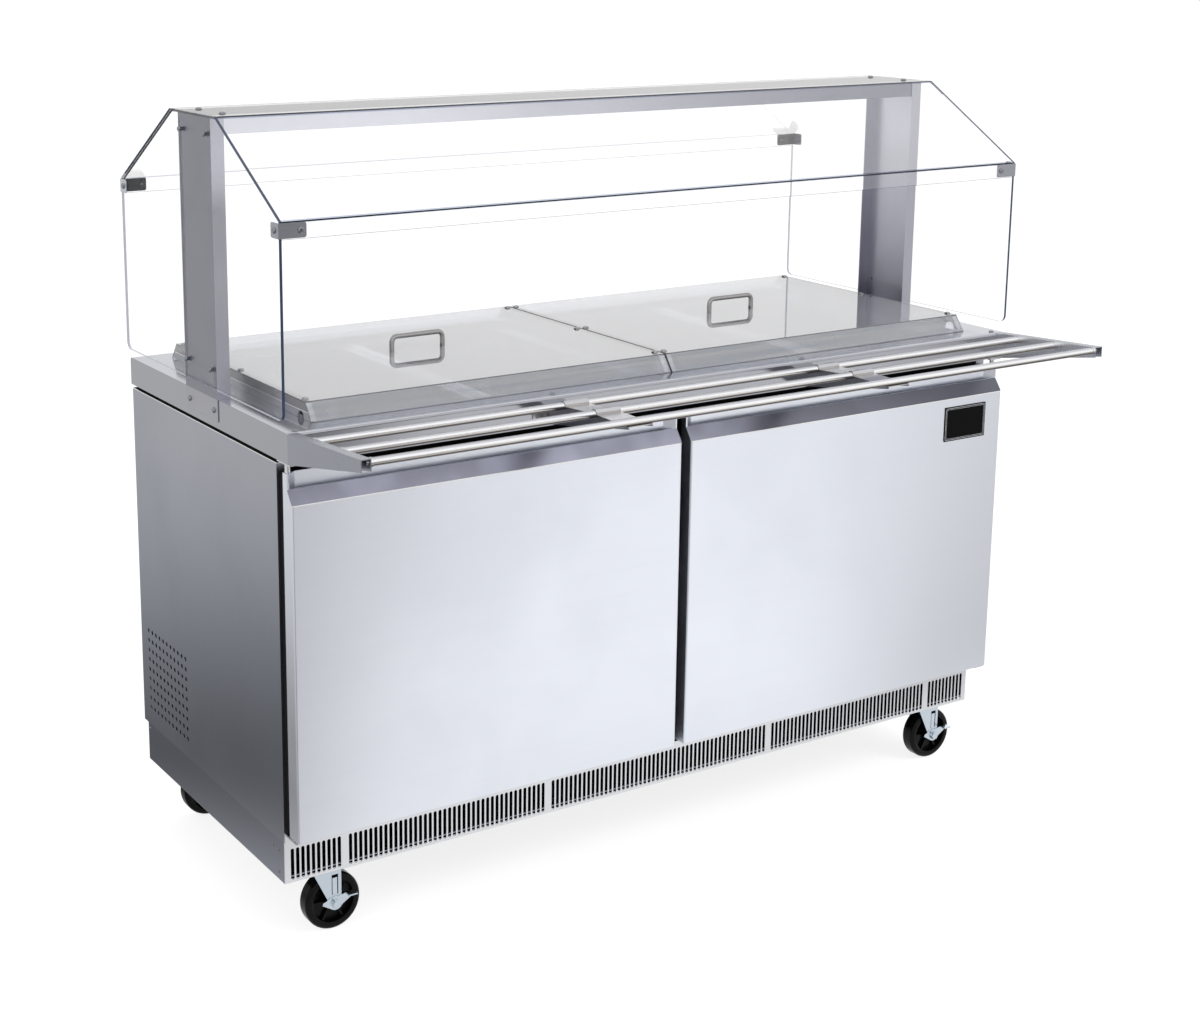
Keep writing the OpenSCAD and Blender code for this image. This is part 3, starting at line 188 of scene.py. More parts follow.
def handling_group():
    """Soft cloudy marks of wiping and handling, from 0 to the given amount."""
    inputs = [("Vector", None), ("Size", 4.0), ("Amount", 0.1)]
    group, given, leave = new_group("handling", inputs, ["Mark"])
    cloud = add_node(group, "ShaderNodeTexNoise", Vector=given["Vector"], Scale=given["Size"],
                     Detail=5.0, Roughness=0.55, Distortion=0.6)
    lifted = math_node(group, "SUBTRACT", cloud.outputs["Fac"], MARK_FROM)
    raised = math_node(group, "MULTIPLY", lifted, MARK_RISE, clamp=True)
    mark = math_node(group, "MULTIPLY", raised, given["Amount"])
    group.links.new(mark, leave.inputs["Mark"])
    return group


GRAIN = brushed_grain_group()
HANDLING = handling_group()


def new_material(name):
    """A material with its tree, its Principled shader and the place on the object."""
    material = bpy.data.materials.new(name)
    material.use_nodes = True
    tree = material.node_tree
    shader = tree.nodes["Principled BSDF"]
    place = add_node(tree, "ShaderNodeTexCoord").outputs["Object"]
    return material, tree, shader, place


def tint(tree, colour, shade):
    """The colour, multiplied by a varying shade."""
    node = add_node(tree, "ShaderNodeVectorMath", operation="SCALE")
    fill(tree, node, 0, colour)
    tree.links.new(shade, node.inputs["Scale"])
    return node.outputs[0]


def split(tree, vector):
    """The X, Y and Z of a vector."""
    node = add_node(tree, "ShaderNodeSeparateXYZ", Vector=vector)
    return node.outputs["X"], node.outputs["Y"], node.outputs["Z"]


def normal_of(tree):
    """The X, Y and Z of the surface's own normal."""
    return split(tree, add_node(tree, "ShaderNodeTexCoord").outputs["Normal"])


def layered(tree, colour, layers, place):
    """The colour with each layer over it. layers(tree, normal, spot) gives pairs of mask and colour."""
    if layers is None:
        return colour
    for mask, over in layers(tree, normal_of(tree), split(tree, place)):
        colour = mix_colour(tree, mask, colour, over)
    return colour


# Masks, which are 1 where they hold and 0 elsewhere


def more(tree, value, limit):
    return math_node(tree, "GREATER_THAN", value, limit)


def less(tree, value, limit):
    return math_node(tree, "LESS_THAN", value, limit)


def leans(tree, lean, limit):
    """Where a normal leans along its axis by more than the limit, either way."""
    return more(tree, size_of(tree, lean), limit)


def near_to(tree, value, level, reach):
    """Where a value is closer to a level than reach."""
    return less(tree, size_of(tree, math_node(tree, "SUBTRACT", value, level)), reach)


def all_of(tree, first, *others):
    for mask in others:
        first = math_node(tree, "MULTIPLY", first, mask)
    return first


def any_of(tree, first, *others):
    for mask in others:
        first = math_node(tree, "MAXIMUM", first, mask)
    return first


# Finishes

# Turns that bring the grain's direction onto X
ALONG = {"x": (0, 0, 0), "y": (0, 0, math.pi / 2), "z": (0, math.pi / 2, 0)}

# Share by which a full handling mark darkens steel
MARK_SHADE = 0.35
BEVEL_SAMPLES = 4
PLASTIC_EDGE = 0.6 * MM
# Refractive index of the clear sheets, and the size of the marks on them
ACRYLIC_IOR = 1.49
CLEAR_MARK_SIZE = 7.0


def steel(name, colour, rough, grain="x", contrast=0.1, height=0.01 * MM, mark=0.06, edge=0.7 * MM,
          layers=None):
    """Brushed or polished stainless steel with its grain along one axis and slightly rounded edges."""
    material, tree, shader, place = new_material(name)
    turned = add_node(tree, "ShaderNodeMapping", Vector=place, Rotation=ALONG[grain])
    streaks = add_node(tree, "ShaderNodeGroup", node_tree=GRAIN, Vector=turned.outputs[0],
                       Contrast=contrast)
    marks = add_node(tree, "ShaderNodeGroup", node_tree=HANDLING, Vector=place, Amount=mark)
    darkening = math_node(tree, "MULTIPLY", marks.outputs["Mark"], MARK_SHADE)
    dulled = math_node(tree, "SUBTRACT", 1.0, darkening)
    shader.inputs["Metallic"].default_value = 1.0
    shade = math_node(tree, "MULTIPLY", streaks.outputs["Shade"], dulled)
    fill(tree, shader, "Base Color", tint(tree, layered(tree, colour, layers, place), shade))
    base = math_node(tree, "ADD", marks.outputs["Mark"], rough)
    fill(tree, shader, "Roughness", math_node(tree, "MULTIPLY", base, streaks.outputs["Shade"]))
    rounded = add_node(tree, "ShaderNodeBevel", samples=BEVEL_SAMPLES, Radius=edge)
    bump = add_node(tree, "ShaderNodeBump", Height=streaks.outputs["Height"], Distance=height,
                    Normal=rounded.outputs[0])
    fill(tree, shader, "Normal", bump.outputs[0])
    return material


def plastic(name, colour, rough, speckle=0.2, height=0.05 * MM, coat=0.0, shine=0.5):
    """Moulded plastic, rubber or paint with a fine orange peel."""
    material, tree, shader, place = new_material(name)
    peel = add_node(tree, "ShaderNodeTexNoise", Vector=place, Scale=60.0, Detail=3.0)
    marks = add_node(tree, "ShaderNodeGroup", node_tree=HANDLING, Vector=place, Size=9.0, Amount=speckle)
    shade = math_node(tree, "ADD", marks.outputs["Mark"], 1.0)
    fill(tree, shader, "Base Color", tint(tree, colour, shade))
    fill(tree, shader, "Roughness", math_node(tree, "ADD", marks.outputs["Mark"], rough))
    shader.inputs["Coat Weight"].default_value = coat
    shader.inputs["Specular IOR Level"].default_value = shine
    rounded = add_node(tree, "ShaderNodeBevel", samples=BEVEL_SAMPLES, Radius=PLASTIC_EDGE)
    bump = add_node(tree, "ShaderNodeBump", Height=peel.outputs["Fac"], Distance=height,
                    Normal=rounded.outputs[0])
    fill(tree, shader, "Normal", bump.outputs[0])
    return material


def clear_sheet(name, colour, layers, rough=0.0, clear=1.0, shine=0.25, coat=0.0):
    """Clear sheet, with the tinted places that layers gives."""
    material, tree, shader, place = new_material(name)
    fill(tree, shader, "Base Color", layered(tree, colour, layers, place))
    shader.inputs["Transmission Weight"].default_value = clear
    shader.inputs["IOR"].default_value = ACRYLIC_IOR
    shader.inputs["Specular IOR Level"].default_value = shine
    shader.inputs["Coat Weight"].default_value = coat
    marks = add_node(tree, "ShaderNodeGroup", node_tree=HANDLING, Vector=place, Size=CLEAR_MARK_SIZE,
                     Amount=0.02)
    fill(tree, shader, "Roughness", math_node(tree, "ADD", marks.outputs["Mark"], rough))
    return material


# Colours that more than one place has
WHITE = (1.0, 1.0, 1.0)
NAVY = (0.035, 0.05, 0.1)
# The paler edge colour is painted light
PALE_EDGE = (0.36, 0.38, 0.46)
# The grey edge colour is painted light
GREY_EDGE = (0.5, 0.52, 0.58)

# How far a normal leans along an axis on the edge of a sheet, and on a flat plate
EDGE_LEAN = 0.5
PLATE_LEAN = 0.7

# Corner radius of an end pane, with room, and the height of its sloped part
GLASS_ROUND = 14 * MM
GLASS_SLOPE_H = 120 * MM
# How much of an end pane's faces and of its pale edges can be seen
GLASS_FILM = 0.035
PALE_SHARE = 0.8


def middle_y(name):
    low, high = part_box(name)
    return (low.y + high.y) / 2


def end_glass():
    """Thin clear pane: nearly invisible faces, and navy edges, with painted light that makes them paler at
    the rear and the foot.
    """
    material, tree, shader, place = new_material("end_glass")
    normal = normal_of(tree)
    spot = split(tree, place)
    low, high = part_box("end_glass_left")
    edge = less(tree, size_of(tree, normal[0]), EDGE_LEAN)
    below = less(tree, spot[2], high.z - GLASS_SLOPE_H)
    rear = all_of(tree, more(tree, spot[1], high.y - GLASS_ROUND), below)
    behind_front = more(tree, spot[1], low.y + GLASS_ROUND)
    foot = all_of(tree, less(tree, spot[2], low.z + GLASS_ROUND), behind_front)
    # Painted light: the edges at the rear and the foot are painted paler and fainter
    pale = any_of(tree, rear, foot)
    edges = mix_colour(tree, pale, NAVY, PALE_EDGE)
    fill(tree, shader, "Base Color", mix_colour(tree, edge, (0.9, 0.93, 0.96), edges))
    marks = add_node(tree, "ShaderNodeGroup", node_tree=HANDLING, Vector=place, Size=CLEAR_MARK_SIZE,
                     Amount=0.03)
    faint = math_node(tree, "ADD", marks.outputs["Mark"], GLASS_FILM)
    solid = mix_value(tree, pale, 1.0, PALE_SHARE)
    fill(tree, shader, "Alpha", mix_value(tree, edge, faint, solid))
    fill(tree, shader, "Roughness", math_node(tree, "ADD", marks.outputs["Mark"], 0.05))
    return material


# Half the flat top of the bent guard sheet, the height of its lip, and the width of a bend
GUARD_SHOULDER = 90 * MM
GUARD_LIP = 28 * MM
BEND_W = 3 * MM
# Height of the cut rim along the foot of a clear sheet
RIM_H = 0.5 * MM


def guard_sheet_layers(tree, normal, spot):
    """Lines along the bends, the cut rims and the ends, with painted shade that makes the bends strongest in
    front, and painted light that makes the rear ends at the right grey.
    """
    low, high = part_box("guard_sheet")
    ends = leans(tree, normal[0], EDGE_LEAN)
    foot = less(tree, spot[2], low.z + RIM_H)
    across = math_node(tree, "SUBTRACT", spot[1], middle_y("guard_sheet"))
    reach = size_of(tree, across)
    shoulder = near_to(tree, reach, GUARD_SHOULDER, BEND_W / 2)
    knee = all_of(tree, more(tree, reach, (high.y - low.y) / 2 - BEND_W),
                  more(tree, spot[2], low.z + GUARD_LIP - BEND_W))
    bends = any_of(tree, shoulder, knee)
    # Painted shade: the bends in front are darker; painted light: the rear ends at the right are grey, not
    # navy
    front_bends = all_of(tree, bends, less(tree, across, 0.0))
    rear_right_ends = all_of(tree, ends, more(tree, across, 0.0), more(tree, spot[0], 0.0))
    return [(bends, (0.34, 0.35, 0.45)), (front_bends, (0.26, 0.31, 0.46)),
            (foot, (0.36, 0.37, 0.43)), (ends, NAVY), (rear_right_ends, GREY_EDGE)]


# Streaks of painted reflection in the bent front of a lid, per metre along X, Y and Z
LID_STREAKS = (2.5, 60.0, 160.0)
STREAK_RAMP = (0.35, 0.65)
# A lid's flat top has its normal at least this upright
LID_TOP_LEAN = 0.8
LID_BEND_H = 1.6 * MM


def lid_layers(tree, normal, spot):
    """A bent front with painted light that makes it paler and streaks of painted reflection, and dark lines
    along the bend, the foot and the ends.
    """
    low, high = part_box("lid_left")
    scaled = [math_node(tree, "MULTIPLY", spot[axis], LID_STREAKS[axis]) for axis in range(3)]
    stretched = add_node(tree, "ShaderNodeCombineXYZ", X=scaled[0], Y=scaled[1], Z=scaled[2])
    streaks = add_node(tree, "ShaderNodeTexNoise", Vector=stretched.outputs[0], Scale=1.0, Detail=3.0)
    front = less(tree, normal[2], LID_TOP_LEAN)
    streaked = all_of(tree, front, ramp(tree, streaks.outputs["Fac"], *STREAK_RAMP))
    ends = leans(tree, normal[0], EDGE_LEAN)
    foot = less(tree, spot[2], low.z + RIM_H)
    bend = all_of(tree, front, more(tree, spot[2], high.z - LID_BEND_H))
    return [(front, (0.97, 0.98, 1.0)), (streaked, (0.8, 0.84, 0.92)),
            (any_of(tree, ends, foot, bend), (0.3, 0.32, 0.37))]


# Painted reflection bands round a bright tube and round a strap: where a band begins and is full, by how
# upright the normal is, and its colour
TUBE_REFLECTION_BANDS = ((0.5, 0.8, (0.6, 0.6, 0.64)), (0.12, -0.15, (0.5, 0.465, 0.44)),
              (-0.25, -0.45, (0.09, 0.08, 0.075)), (0.955, 0.985, (0.33, 0.335, 0.36)))
STRAP_REFLECTION_BANDS = ((0.45, 0.15, (0.55, 0.52, 0.5)), (-0.2, -0.4, (0.1, 0.09, 0.1)))
# The strap's flanks, which get painted shade, lean along X by more than this
STRAP_FLANK_LEAN = 0.6


def bands(tree, value, rows):
    return [(ramp(tree, value, start, full), colour) for start, full, colour in rows]


def tube_layers(tree, normal, spot):
    """Painted reflection bands round a polished tube: a grey line on top, white, warm beige, and a brown
    foot.
    """
    return bands(tree, normal[2], TUBE_REFLECTION_BANDS)


def strap_layers(tree, normal, spot):
    """Painted reflection bands round a bracket's strap, which stays light where it lies flat, and painted
    shade on its flanks.
    """
    flank = leans(tree, normal[0], STRAP_FLANK_LEAN)
    return bands(tree, normal[2], STRAP_REFLECTION_BANDS) + [(flank, (0.36, 0.36, 0.39))]


def arm_layers(tree, normal, spot):
    """Painted light: the inner side of the right arm, which faces the dim side of the room, is painted
    paler.
    """
    inner = all_of(tree, less(tree, normal[0], -PLATE_LEAN), more(tree, spot[0], 0.0))
    return [(inner, (0.95, 0.95, 1.0))]


def zinc_layers(tree, normal, spot):
    """Painted highlight where it looks up, and painted shade on the flanks and below."""
    flank = leans(tree, normal[0], EDGE_LEAN)
    upper = more(tree, normal[2], EDGE_LEAN)
    lower = less(tree, normal[2], -EDGE_LEAN)
    return [(flank, (0.3, 0.35, 0.41)), (upper, (0.85, 0.9, 0.95)), (lower, (0.12, 0.14, 0.17))]


# Height from the top of a door down to the foot of its finger pull, and the width of the painted highlight
# line there
PULL_H = 48.5 * MM
PULL_HIGHLIGHT_W = 1.6 * MM
# The pull's bevel leans up by between these, and looks forward by at least this much
PULL_LEAN = (0.25, 0.9)
FORWARD_LEAN = 0.2
# The painted reflection on the bevel dims between these places along X
PULL_FADE = (-0.25, 0.65)
# Clouds of painted reflection dim it further, by up to this share
PULL_CLOUD = 0.45
CLOUD_RAMP = (0.55, 0.42)


def door_layers(tree, normal, spot):
    """Painted shade and reflection on the bevel of the finger pull, and a painted highlight line at its
    foot.
    """
    pull_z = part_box("door_left")[1].z - PULL_H
    forward = less(tree, normal[1], -FORWARD_LEAN)
    leaning = all_of(tree, more(tree, normal[2], PULL_LEAN[0]), less(tree, normal[2], PULL_LEAN[1]),
                     forward, more(tree, spot[2], pull_z - PULL_HIGHLIGHT_W))
    place = add_node(tree, "ShaderNodeTexCoord").outputs["Object"]
    cloud = add_node(tree, "ShaderNodeTexNoise", Vector=place, Scale=5.0, Detail=2.0)
    # Painted reflection: paler at the left, darker to the right, and dimmed in clouds
    across = mix_colour(tree, ramp(tree, spot[0], *PULL_FADE), (0.5, 0.51, 0.63), (0.16, 0.165, 0.2))
    dark = math_node(tree, "MULTIPLY", ramp(tree, cloud.outputs["Fac"], *CLOUD_RAMP), PULL_CLOUD)
    shade = mix_colour(tree, dark, across, (0.16, 0.16, 0.19))
    # Painted highlight: a white line along the foot of the pull
    line = all_of(tree, near_to(tree, spot[2], pull_z, PULL_HIGHLIGHT_W / 2), forward)
    return [(leaning, shade), (line, WHITE)]


# Height of the painted highlight along the fold on a lid's end plates above the lid's foot, and half its
# width
FOLD_UP = 13 * MM
FOLD_HALF_W = 0.7 * MM
# The handle begins this far above a lid
HANDLE_UP = 4 * MM
# The slope at each end of a plate leans along Y and up by more than these
SLOPE_LEAN = (0.3, 0.2)


def lid_frame_layers(tree, normal, spot):
    """A lid's plates: painted highlights on the fold and the sloped ends, painted light below the fold,
    painted shade on the inner sides, and the darker handle.
    """
    low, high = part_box("lid_left")
    handle = more(tree, spot[2], high.z + HANDLE_UP)
    slope = all_of(tree, leans(tree, normal[1], SLOPE_LEAN[0]), more(tree, normal[2], SLOPE_LEAN[1]),
                   less(tree, spot[2], high.z))
    plate = leans(tree, normal[0], PLATE_LEAN)
    # The right plate of each lid shows its inner side to the left
    middle_x = (low.x + high.x) / 2
    right_plate = any_of(tree, more(tree, spot[0], -middle_x),
                         all_of(tree, less(tree, spot[0], 0.0), more(tree, spot[0], middle_x)))
    inner = all_of(tree, less(tree, normal[0], -PLATE_LEAN), right_plate)
    fold_z = low.z + FOLD_UP
    fold = all_of(tree, plate, near_to(tree, spot[2], fold_z, FOLD_HALF_W))
    under = all_of(tree, plate, less(tree, spot[2], fold_z))
    # Painted light and shade: paler below the fold, white along it and on the sloped ends, near black on the
    # inner sides
    return [(under, (0.52, 0.52, 0.54)), (fold, WHITE), (slope, (0.95, 0.95, 0.96)),
            (inner, (0.07, 0.07, 0.08)), (handle, (0.42, 0.41, 0.405))]


# Depth from the outside of the base at which it counts as inside
BASE_INSET = 2.2 * MM
BASE_SHADE_BLACK = (0.004, 0.004, 0.004)


def base_steel():
    """Steel of the base, with painted shade inside it: black behind the grille."""
    material, tree, shader, place = new_material("base_steel")
    streaks = add_node(tree, "ShaderNodeGroup", node_tree=GRAIN, Vector=place)
    low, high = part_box("base_frame")
    spot = split(tree, place)
    inside = all_of(tree, less(tree, size_of(tree, spot[0]), high.x - BASE_INSET),
                    more(tree, spot[1], low.y + BASE_INSET), less(tree, spot[1], high.y - BASE_INSET))
    metal = tint(tree, (0.34, 0.36, 0.42), streaks.outputs["Shade"])
    # Painted shade: inside the base the steel is black, dull and not metal
    fill(tree, shader, "Base Color", mix_colour(tree, inside, metal, BASE_SHADE_BLACK))
    fill(tree, shader, "Metallic", math_node(tree, "SUBTRACT", 1.0, inside))
    fill(tree, shader, "Roughness", mix_value(tree, inside, 0.3, 0.9))
    return material


def worktop_layers(tree, normal, spot):
    """Painted light: the flat top is painted paler than the folded edge."""
    return [(more(tree, normal[2], PLATE_LEAN), (0.58, 0.59, 0.645))]


# Depth of a pan's rim below its top, and height of its rounded floor
PAN_RIM_H = 3 * MM
PAN_FLOOR_H = 12 * MM


def pan_layers(tree, normal, spot):
    """Painted shade: dimmer below the rims, and dimmest on the floor of a pan."""
    low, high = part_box("food_pans")
    return [(less(tree, spot[2], high.z - PAN_RIM_H), (0.62, 0.62, 0.64)),
            (less(tree, spot[2], low.z + PAN_FLOOR_H), (0.42, 0.415, 0.43))]


# Height over which the painted shade on the inner side of the right post lightens
POST_FADE_H = 0.3


def post_layers(tree, normal, spot):
    """Painted shade on the broad sides of a post, lighter at its foot beside the worktop, and on the right
    post painted darker at the foot and paler higher up.
    """
    deck_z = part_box("deck_top")[1].z
    broad = leans(tree, normal[0], PLATE_LEAN)
    foot = all_of(tree, broad, less(tree, spot[2], deck_z))
    right = all_of(tree, broad, more(tree, spot[0], 0.0))
    fade = ramp(tree, spot[2], deck_z, deck_z + POST_FADE_H)
    dimmer = mix_colour(tree, fade, (0.36, 0.36, 0.42), (0.65, 0.65, 0.73))
    return [(broad, (0.3, 0.3, 0.345)), (foot, (0.46, 0.46, 0.5)), (right, dimmer)]


# The painted light on the front of the beam dims between these places along X
BEAM_FADE = (-0.6, 0.65)


def beam_layers(tree, normal, spot):
    """Painted light on the front of the beam, which dims to the right, and on its top, which is painted
    paler.
    """
    front = leans(tree, normal[1], PLATE_LEAN)
    dimmed = mix_colour(tree, ramp(tree, spot[0], *BEAM_FADE), (0.8, 0.805, 0.88), (0.27, 0.275, 0.34))
    return [(front, dimmed), (more(tree, normal[2], PLATE_LEAN), (0.82, 0.83, 0.9))]


# Heights between which painted light makes the side panels paler, up to the top and down to the foot
SIDE_BANDS = ((0.5, 0.86, (0.45, 0.465, 0.51)), (0.36, 0.16, (0.4, 0.42, 0.48)))
# Height of the painted highlight along the upper edge
SIDE_EDGE_H = 1.5 * MM


def side_layers(tree, normal, spot):
    """Painted light: paler at the top and the foot, with a painted highlight along the upper edge."""
    top_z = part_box("side_panel_left")[1].z
    upper_highlight = more(tree, spot[2], top_z - SIDE_EDGE_H)
    return bands(tree, spot[2], SIDE_BANDS) + [(upper_highlight, (0.95, 0.95, 0.97))]


def bracket_layers(tree, normal, spot):
    """The bracket at the rear left stands in shade, so its steel is painted paler."""
    rear_left = all_of(tree, less(tree, spot[0], 0.0), more(tree, spot[1], middle_y("corner_brackets")))
    return [(rear_left, (0.66, 0.67, 0.72))]


# Dressing the CAD nodes


def dress(material, *names):
    """Gives a material to CAD nodes."""
    for name in names:
        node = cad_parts[name]
        for material_slot in node.material_slots:
            material_slot.material = material


def dress_worktop():
    dress(steel("worktop_steel", (0.44, 0.445, 0.48), rough=0.13, contrast=0.05, mark=0.03,
                height=0.004 * MM, layers=worktop_layers), "deck_top")
    dress(plastic("core_board", (0.06, 0.055, 0.05), rough=0.8, height=0.3 * MM, shine=0.1), "deck_core")
    dress(plastic("black_rubber", (0.004, 0.004, 0.0045), rough=0.6, shine=0.15),
          "deck_seal", "door_gasket_left", "door_gasket_right")
    dress(steel("pan_steel", (0.82, 0.82, 0.84), rough=0.22, contrast=0.06, layers=pan_layers), "food_pans")
    dress(steel("bar_steel", (0.85, 0.85, 0.87), rough=0.22, contrast=0.06), "adapter_bars")


def dress_lids():
    dress(clear_sheet("lid_sheet", (0.93, 0.925, 0.96), lid_layers, rough=0.02, clear=0.85, shine=0.7,
                      coat=1.0), "lid_left", "lid_right")
    dress(steel("lid_steel", (0.4, 0.395, 0.4), rough=0.2, grain="y", layers=lid_frame_layers),
          "lid_frame_left", "lid_frame_right")


def dress_guard():
    dress(end_glass(), "end_glass_left", "end_glass_right")
    dress(clear_sheet("top_glass", WHITE, guard_sheet_layers), "guard_sheet")
    dress(steel("post_steel", (0.52, 0.52, 0.585), rough=0.3, grain="z", layers=post_layers), "guard_posts")
    dress(steel("beam_steel", (0.55, 0.56, 0.6), rough=0.3, layers=beam_layers), "top_beam")
    dress(steel("corner_steel", (0.42, 0.425, 0.475), rough=0.22, layers=bracket_layers), "corner_brackets")
    dress(steel("screw_steel", (0.3, 0.31, 0.33), rough=0.14, contrast=0.03), "case_screws", "guard_screws")


def dress_tray_slide():
    dress(steel("tube_steel", (0.96, 0.96, 0.97), rough=0.15, contrast=0.04, mark=0.03,
                height=0.003 * MM, layers=tube_layers), "tray_tubes")
    dress(steel("strap_steel", (0.6, 0.6, 0.63), rough=0.2, contrast=0.05, layers=strap_layers),
          "tray_mid_brackets")
    # The arm's steel is painted dark, as painted shade
    dress(steel("arm_steel", (0.37, 0.385, 0.43), rough=0.24, grain="y", layers=arm_layers),
          "tray_end_brackets")


def dress_cabinet():
    # The foam is painted near black as painted shade where it shows through the grille
    dress(plastic("shade_dark_foam", (0.02, 0.02, 0.021), rough=0.9, height=0.4 * MM, shine=0.1), "cabinet_body")
    dress(steel("liner_sheet", (0.72, 0.73, 0.74), rough=0.3, grain="z", contrast=0.12),
          "cabinet_liner", "evaporator_cover")
    dress(plastic("black_trim", (0.002, 0.002, 0.0023), rough=0.5, shine=0.12),
          "face_frame", "mullion", "cord_gland")
    # The side panels' steel is painted dark, as painted shade
    dress(steel("side_steel", (0.345, 0.37, 0.425), rough=0.3, grain="z", layers=side_layers),
          "side_panel_left", "side_panel_right")
    dress(steel("rear_steel", (0.6, 0.62, 0.65), rough=0.32, grain="z"), "back_panel", "rear_grille")
    dress(base_steel(), "base_frame")
    dress(steel("grille_steel", (0.82, 0.83, 0.86), rough=0.28), "front_grille")
    dress(steel("plated_wire", (0.7, 0.71, 0.73), rough=0.2), "wire_shelves", "shelf_clips")


def dress_doors():
    # The doors' steel is painted pale and bluish, as painted light
    dress(steel("door_steel", (0.9, 0.93, 1.0), rough=0.34, contrast=0.05, edge=1.2 * MM,
                layers=door_layers), "door_left", "door_right")
    dress(plastic("white_liner", (0.8, 0.8, 0.79), rough=0.3, speckle=0.04),
          "door_liner_left", "door_liner_right")
    dress(plastic("plate_black", (0.001, 0.001, 0.0012), rough=0.35, speckle=0.05, shine=0.08), "name_plate")
    dress(steel("bracket_steel", (0.8, 0.81, 0.83), rough=0.2), "hinge_brackets")


def dress_machinery():
    dress(steel("galvanised", (0.46, 0.48, 0.5), rough=0.45, contrast=0.3), "machine_base")
    dress(plastic("compressor_black", (0.01, 0.01, 0.011), rough=0.22, coat=0.4), "compressor")
    dress(steel("coil_fins", (0.6, 0.62, 0.64), rough=0.35, grain="z", contrast=0.4),
          "condenser", "evaporator")
    dress(plastic("fan_plastic", (0.03, 0.03, 0.032), rough=0.4), "condenser_fan", "evaporator_fan")
    dress(steel("copper", (0.72, 0.36, 0.2), rough=0.25), "refrigerant_pipes")


CORNERS = ("fl", "fr", "rl", "rr")


def dress_casters():
    dress(steel("zinc", (0.6, 0.67, 0.74), rough=0.15, contrast=0.2, layers=zinc_layers),
          "caster_plates", "brake_pedal_fl", "brake_pedal_fr",
          *["caster_fork_" + corner for corner in CORNERS])
    dress(plastic("wheel_rubber", (0.0015, 0.0015, 0.002), rough=0.2, height=0.08 * MM, shine=0.14),
          *["caster_wheel_" + corner for corner in CORNERS])


def dress_all():
    dress_worktop()
    dress_lids()
    dress_guard()
    dress_tray_slide()
    dress_cabinet()
    dress_doors()
    dress_machinery()
    dress_casters()
    for name in ("end_glass_left", "end_glass_right", "guard_sheet", "lid_left", "lid_right"):
        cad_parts[name].visible_shadow = False


# New pieces


def new_piece(name, shape, material, body):
    """A piece from a bmesh whose place is in its mesh, riding on a body."""
    mesh = bpy.data.meshes.new(name)
    bmesh.ops.recalc_face_normals(shape, faces=shape.faces)
    shape.to_mesh(mesh)
    shape.free()
    piece = bpy.data.objects.new(name, mesh)
    bpy.context.scene.collection.objects.link(piece)
    mesh.materials.append(material)
    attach(piece, body)
    return piece


RING_CORNER_LEAST = 0.2 * MM
RING_SEGMENTS = 6


def rounded_ring(outer, inner, thick, radius):
    """A flat ring in the XZ plane about the origin, from an outer and an inner half size."""
    shape = bmesh.new()
    loops = []
    inner_radius = max(radius - (outer[0] - inner[0]), RING_CORNER_LEAST)
    for (half_x, half_z), corner in ((outer, radius), (inner, inner_radius)):
        made = bmesh.ops.create_grid(shape, x_segments=1, y_segments=1, size=1)
        verts = made["verts"]
        for vert in verts:
            vert.co = Vector((math.copysign(half_x, vert.co.x), 0, math.copysign(half_z, vert.co.y)))
        faces = list({face for vert in verts for face in vert.link_faces})
        bmesh.ops.delete(shape, geom=faces, context="FACES_ONLY")
        done = bmesh.ops.bevel(shape, geom=verts, offset=corner, segments=RING_SEGMENTS, profile=0.5,
                               affect="VERTICES", material=-1)
        loops.append({edge for vert in done["verts"] for edge in vert.link_edges})
    bmesh.ops.bridge_loops(shape, edges=list(loops[0] | loops[1]))
    flat = list(shape.faces)
    grown = bmesh.ops.extrude_face_region(shape, geom=flat)
    moved = [item for item in grown["geom"] if isinstance(item, bmesh.types.BMVert)]
    bmesh.ops.translate(shape, verts=moved, vec=(0, -thick, 0))
    return shape


# Each silver line on the plate: its inset from the plate's rim, width and corner radius
PLATE_LINES = {"outer": (2.0 * MM, 0.9 * MM, 4.0 * MM), "inner": (4.6 * MM, 0.6 * MM, 3.0 * MM)}
LINE_THICK = 0.2 * MM
LINE_SUNK = 0.05 * MM


def add_plate_borders():
    """Two thin silver lines, one in the other, on the bare black plate."""
    low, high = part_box("name_plate")
    middle = (low + high) / 2
    half_x = (high.x - low.x) / 2
    half_z = (high.z - low.z) / 2
    silver = steel("plate_silver", (0.78, 0.79, 0.82), rough=0.25, contrast=0.04)
    for label, (inset, width, corner) in PLATE_LINES.items():
        outer = (half_x - inset, half_z - inset)
        inner = (outer[0] - width, outer[1] - width)
        shape = rounded_ring(outer, inner, LINE_THICK, corner)
        bmesh.ops.translate(shape, verts=shape.verts, vec=(middle.x, low.y + LINE_SUNK, middle.z))
        new_piece("plate_border_" + label, shape, silver, "right_door")


# The black sheet that stands in for shade behind the grille: width and depth of a pleat, its room within the
# grille's length and height, and the gap behind the grille
PLEAT_W = 4 * MM
PLEAT_DEPTH = 1.2 * MM
SHADE_SHEET_ROOM_X = 20 * MM
SHADE_SHEET_ROOM_Z = 2 * MM
SHADE_SHEET_GAP = 0.3 * MM


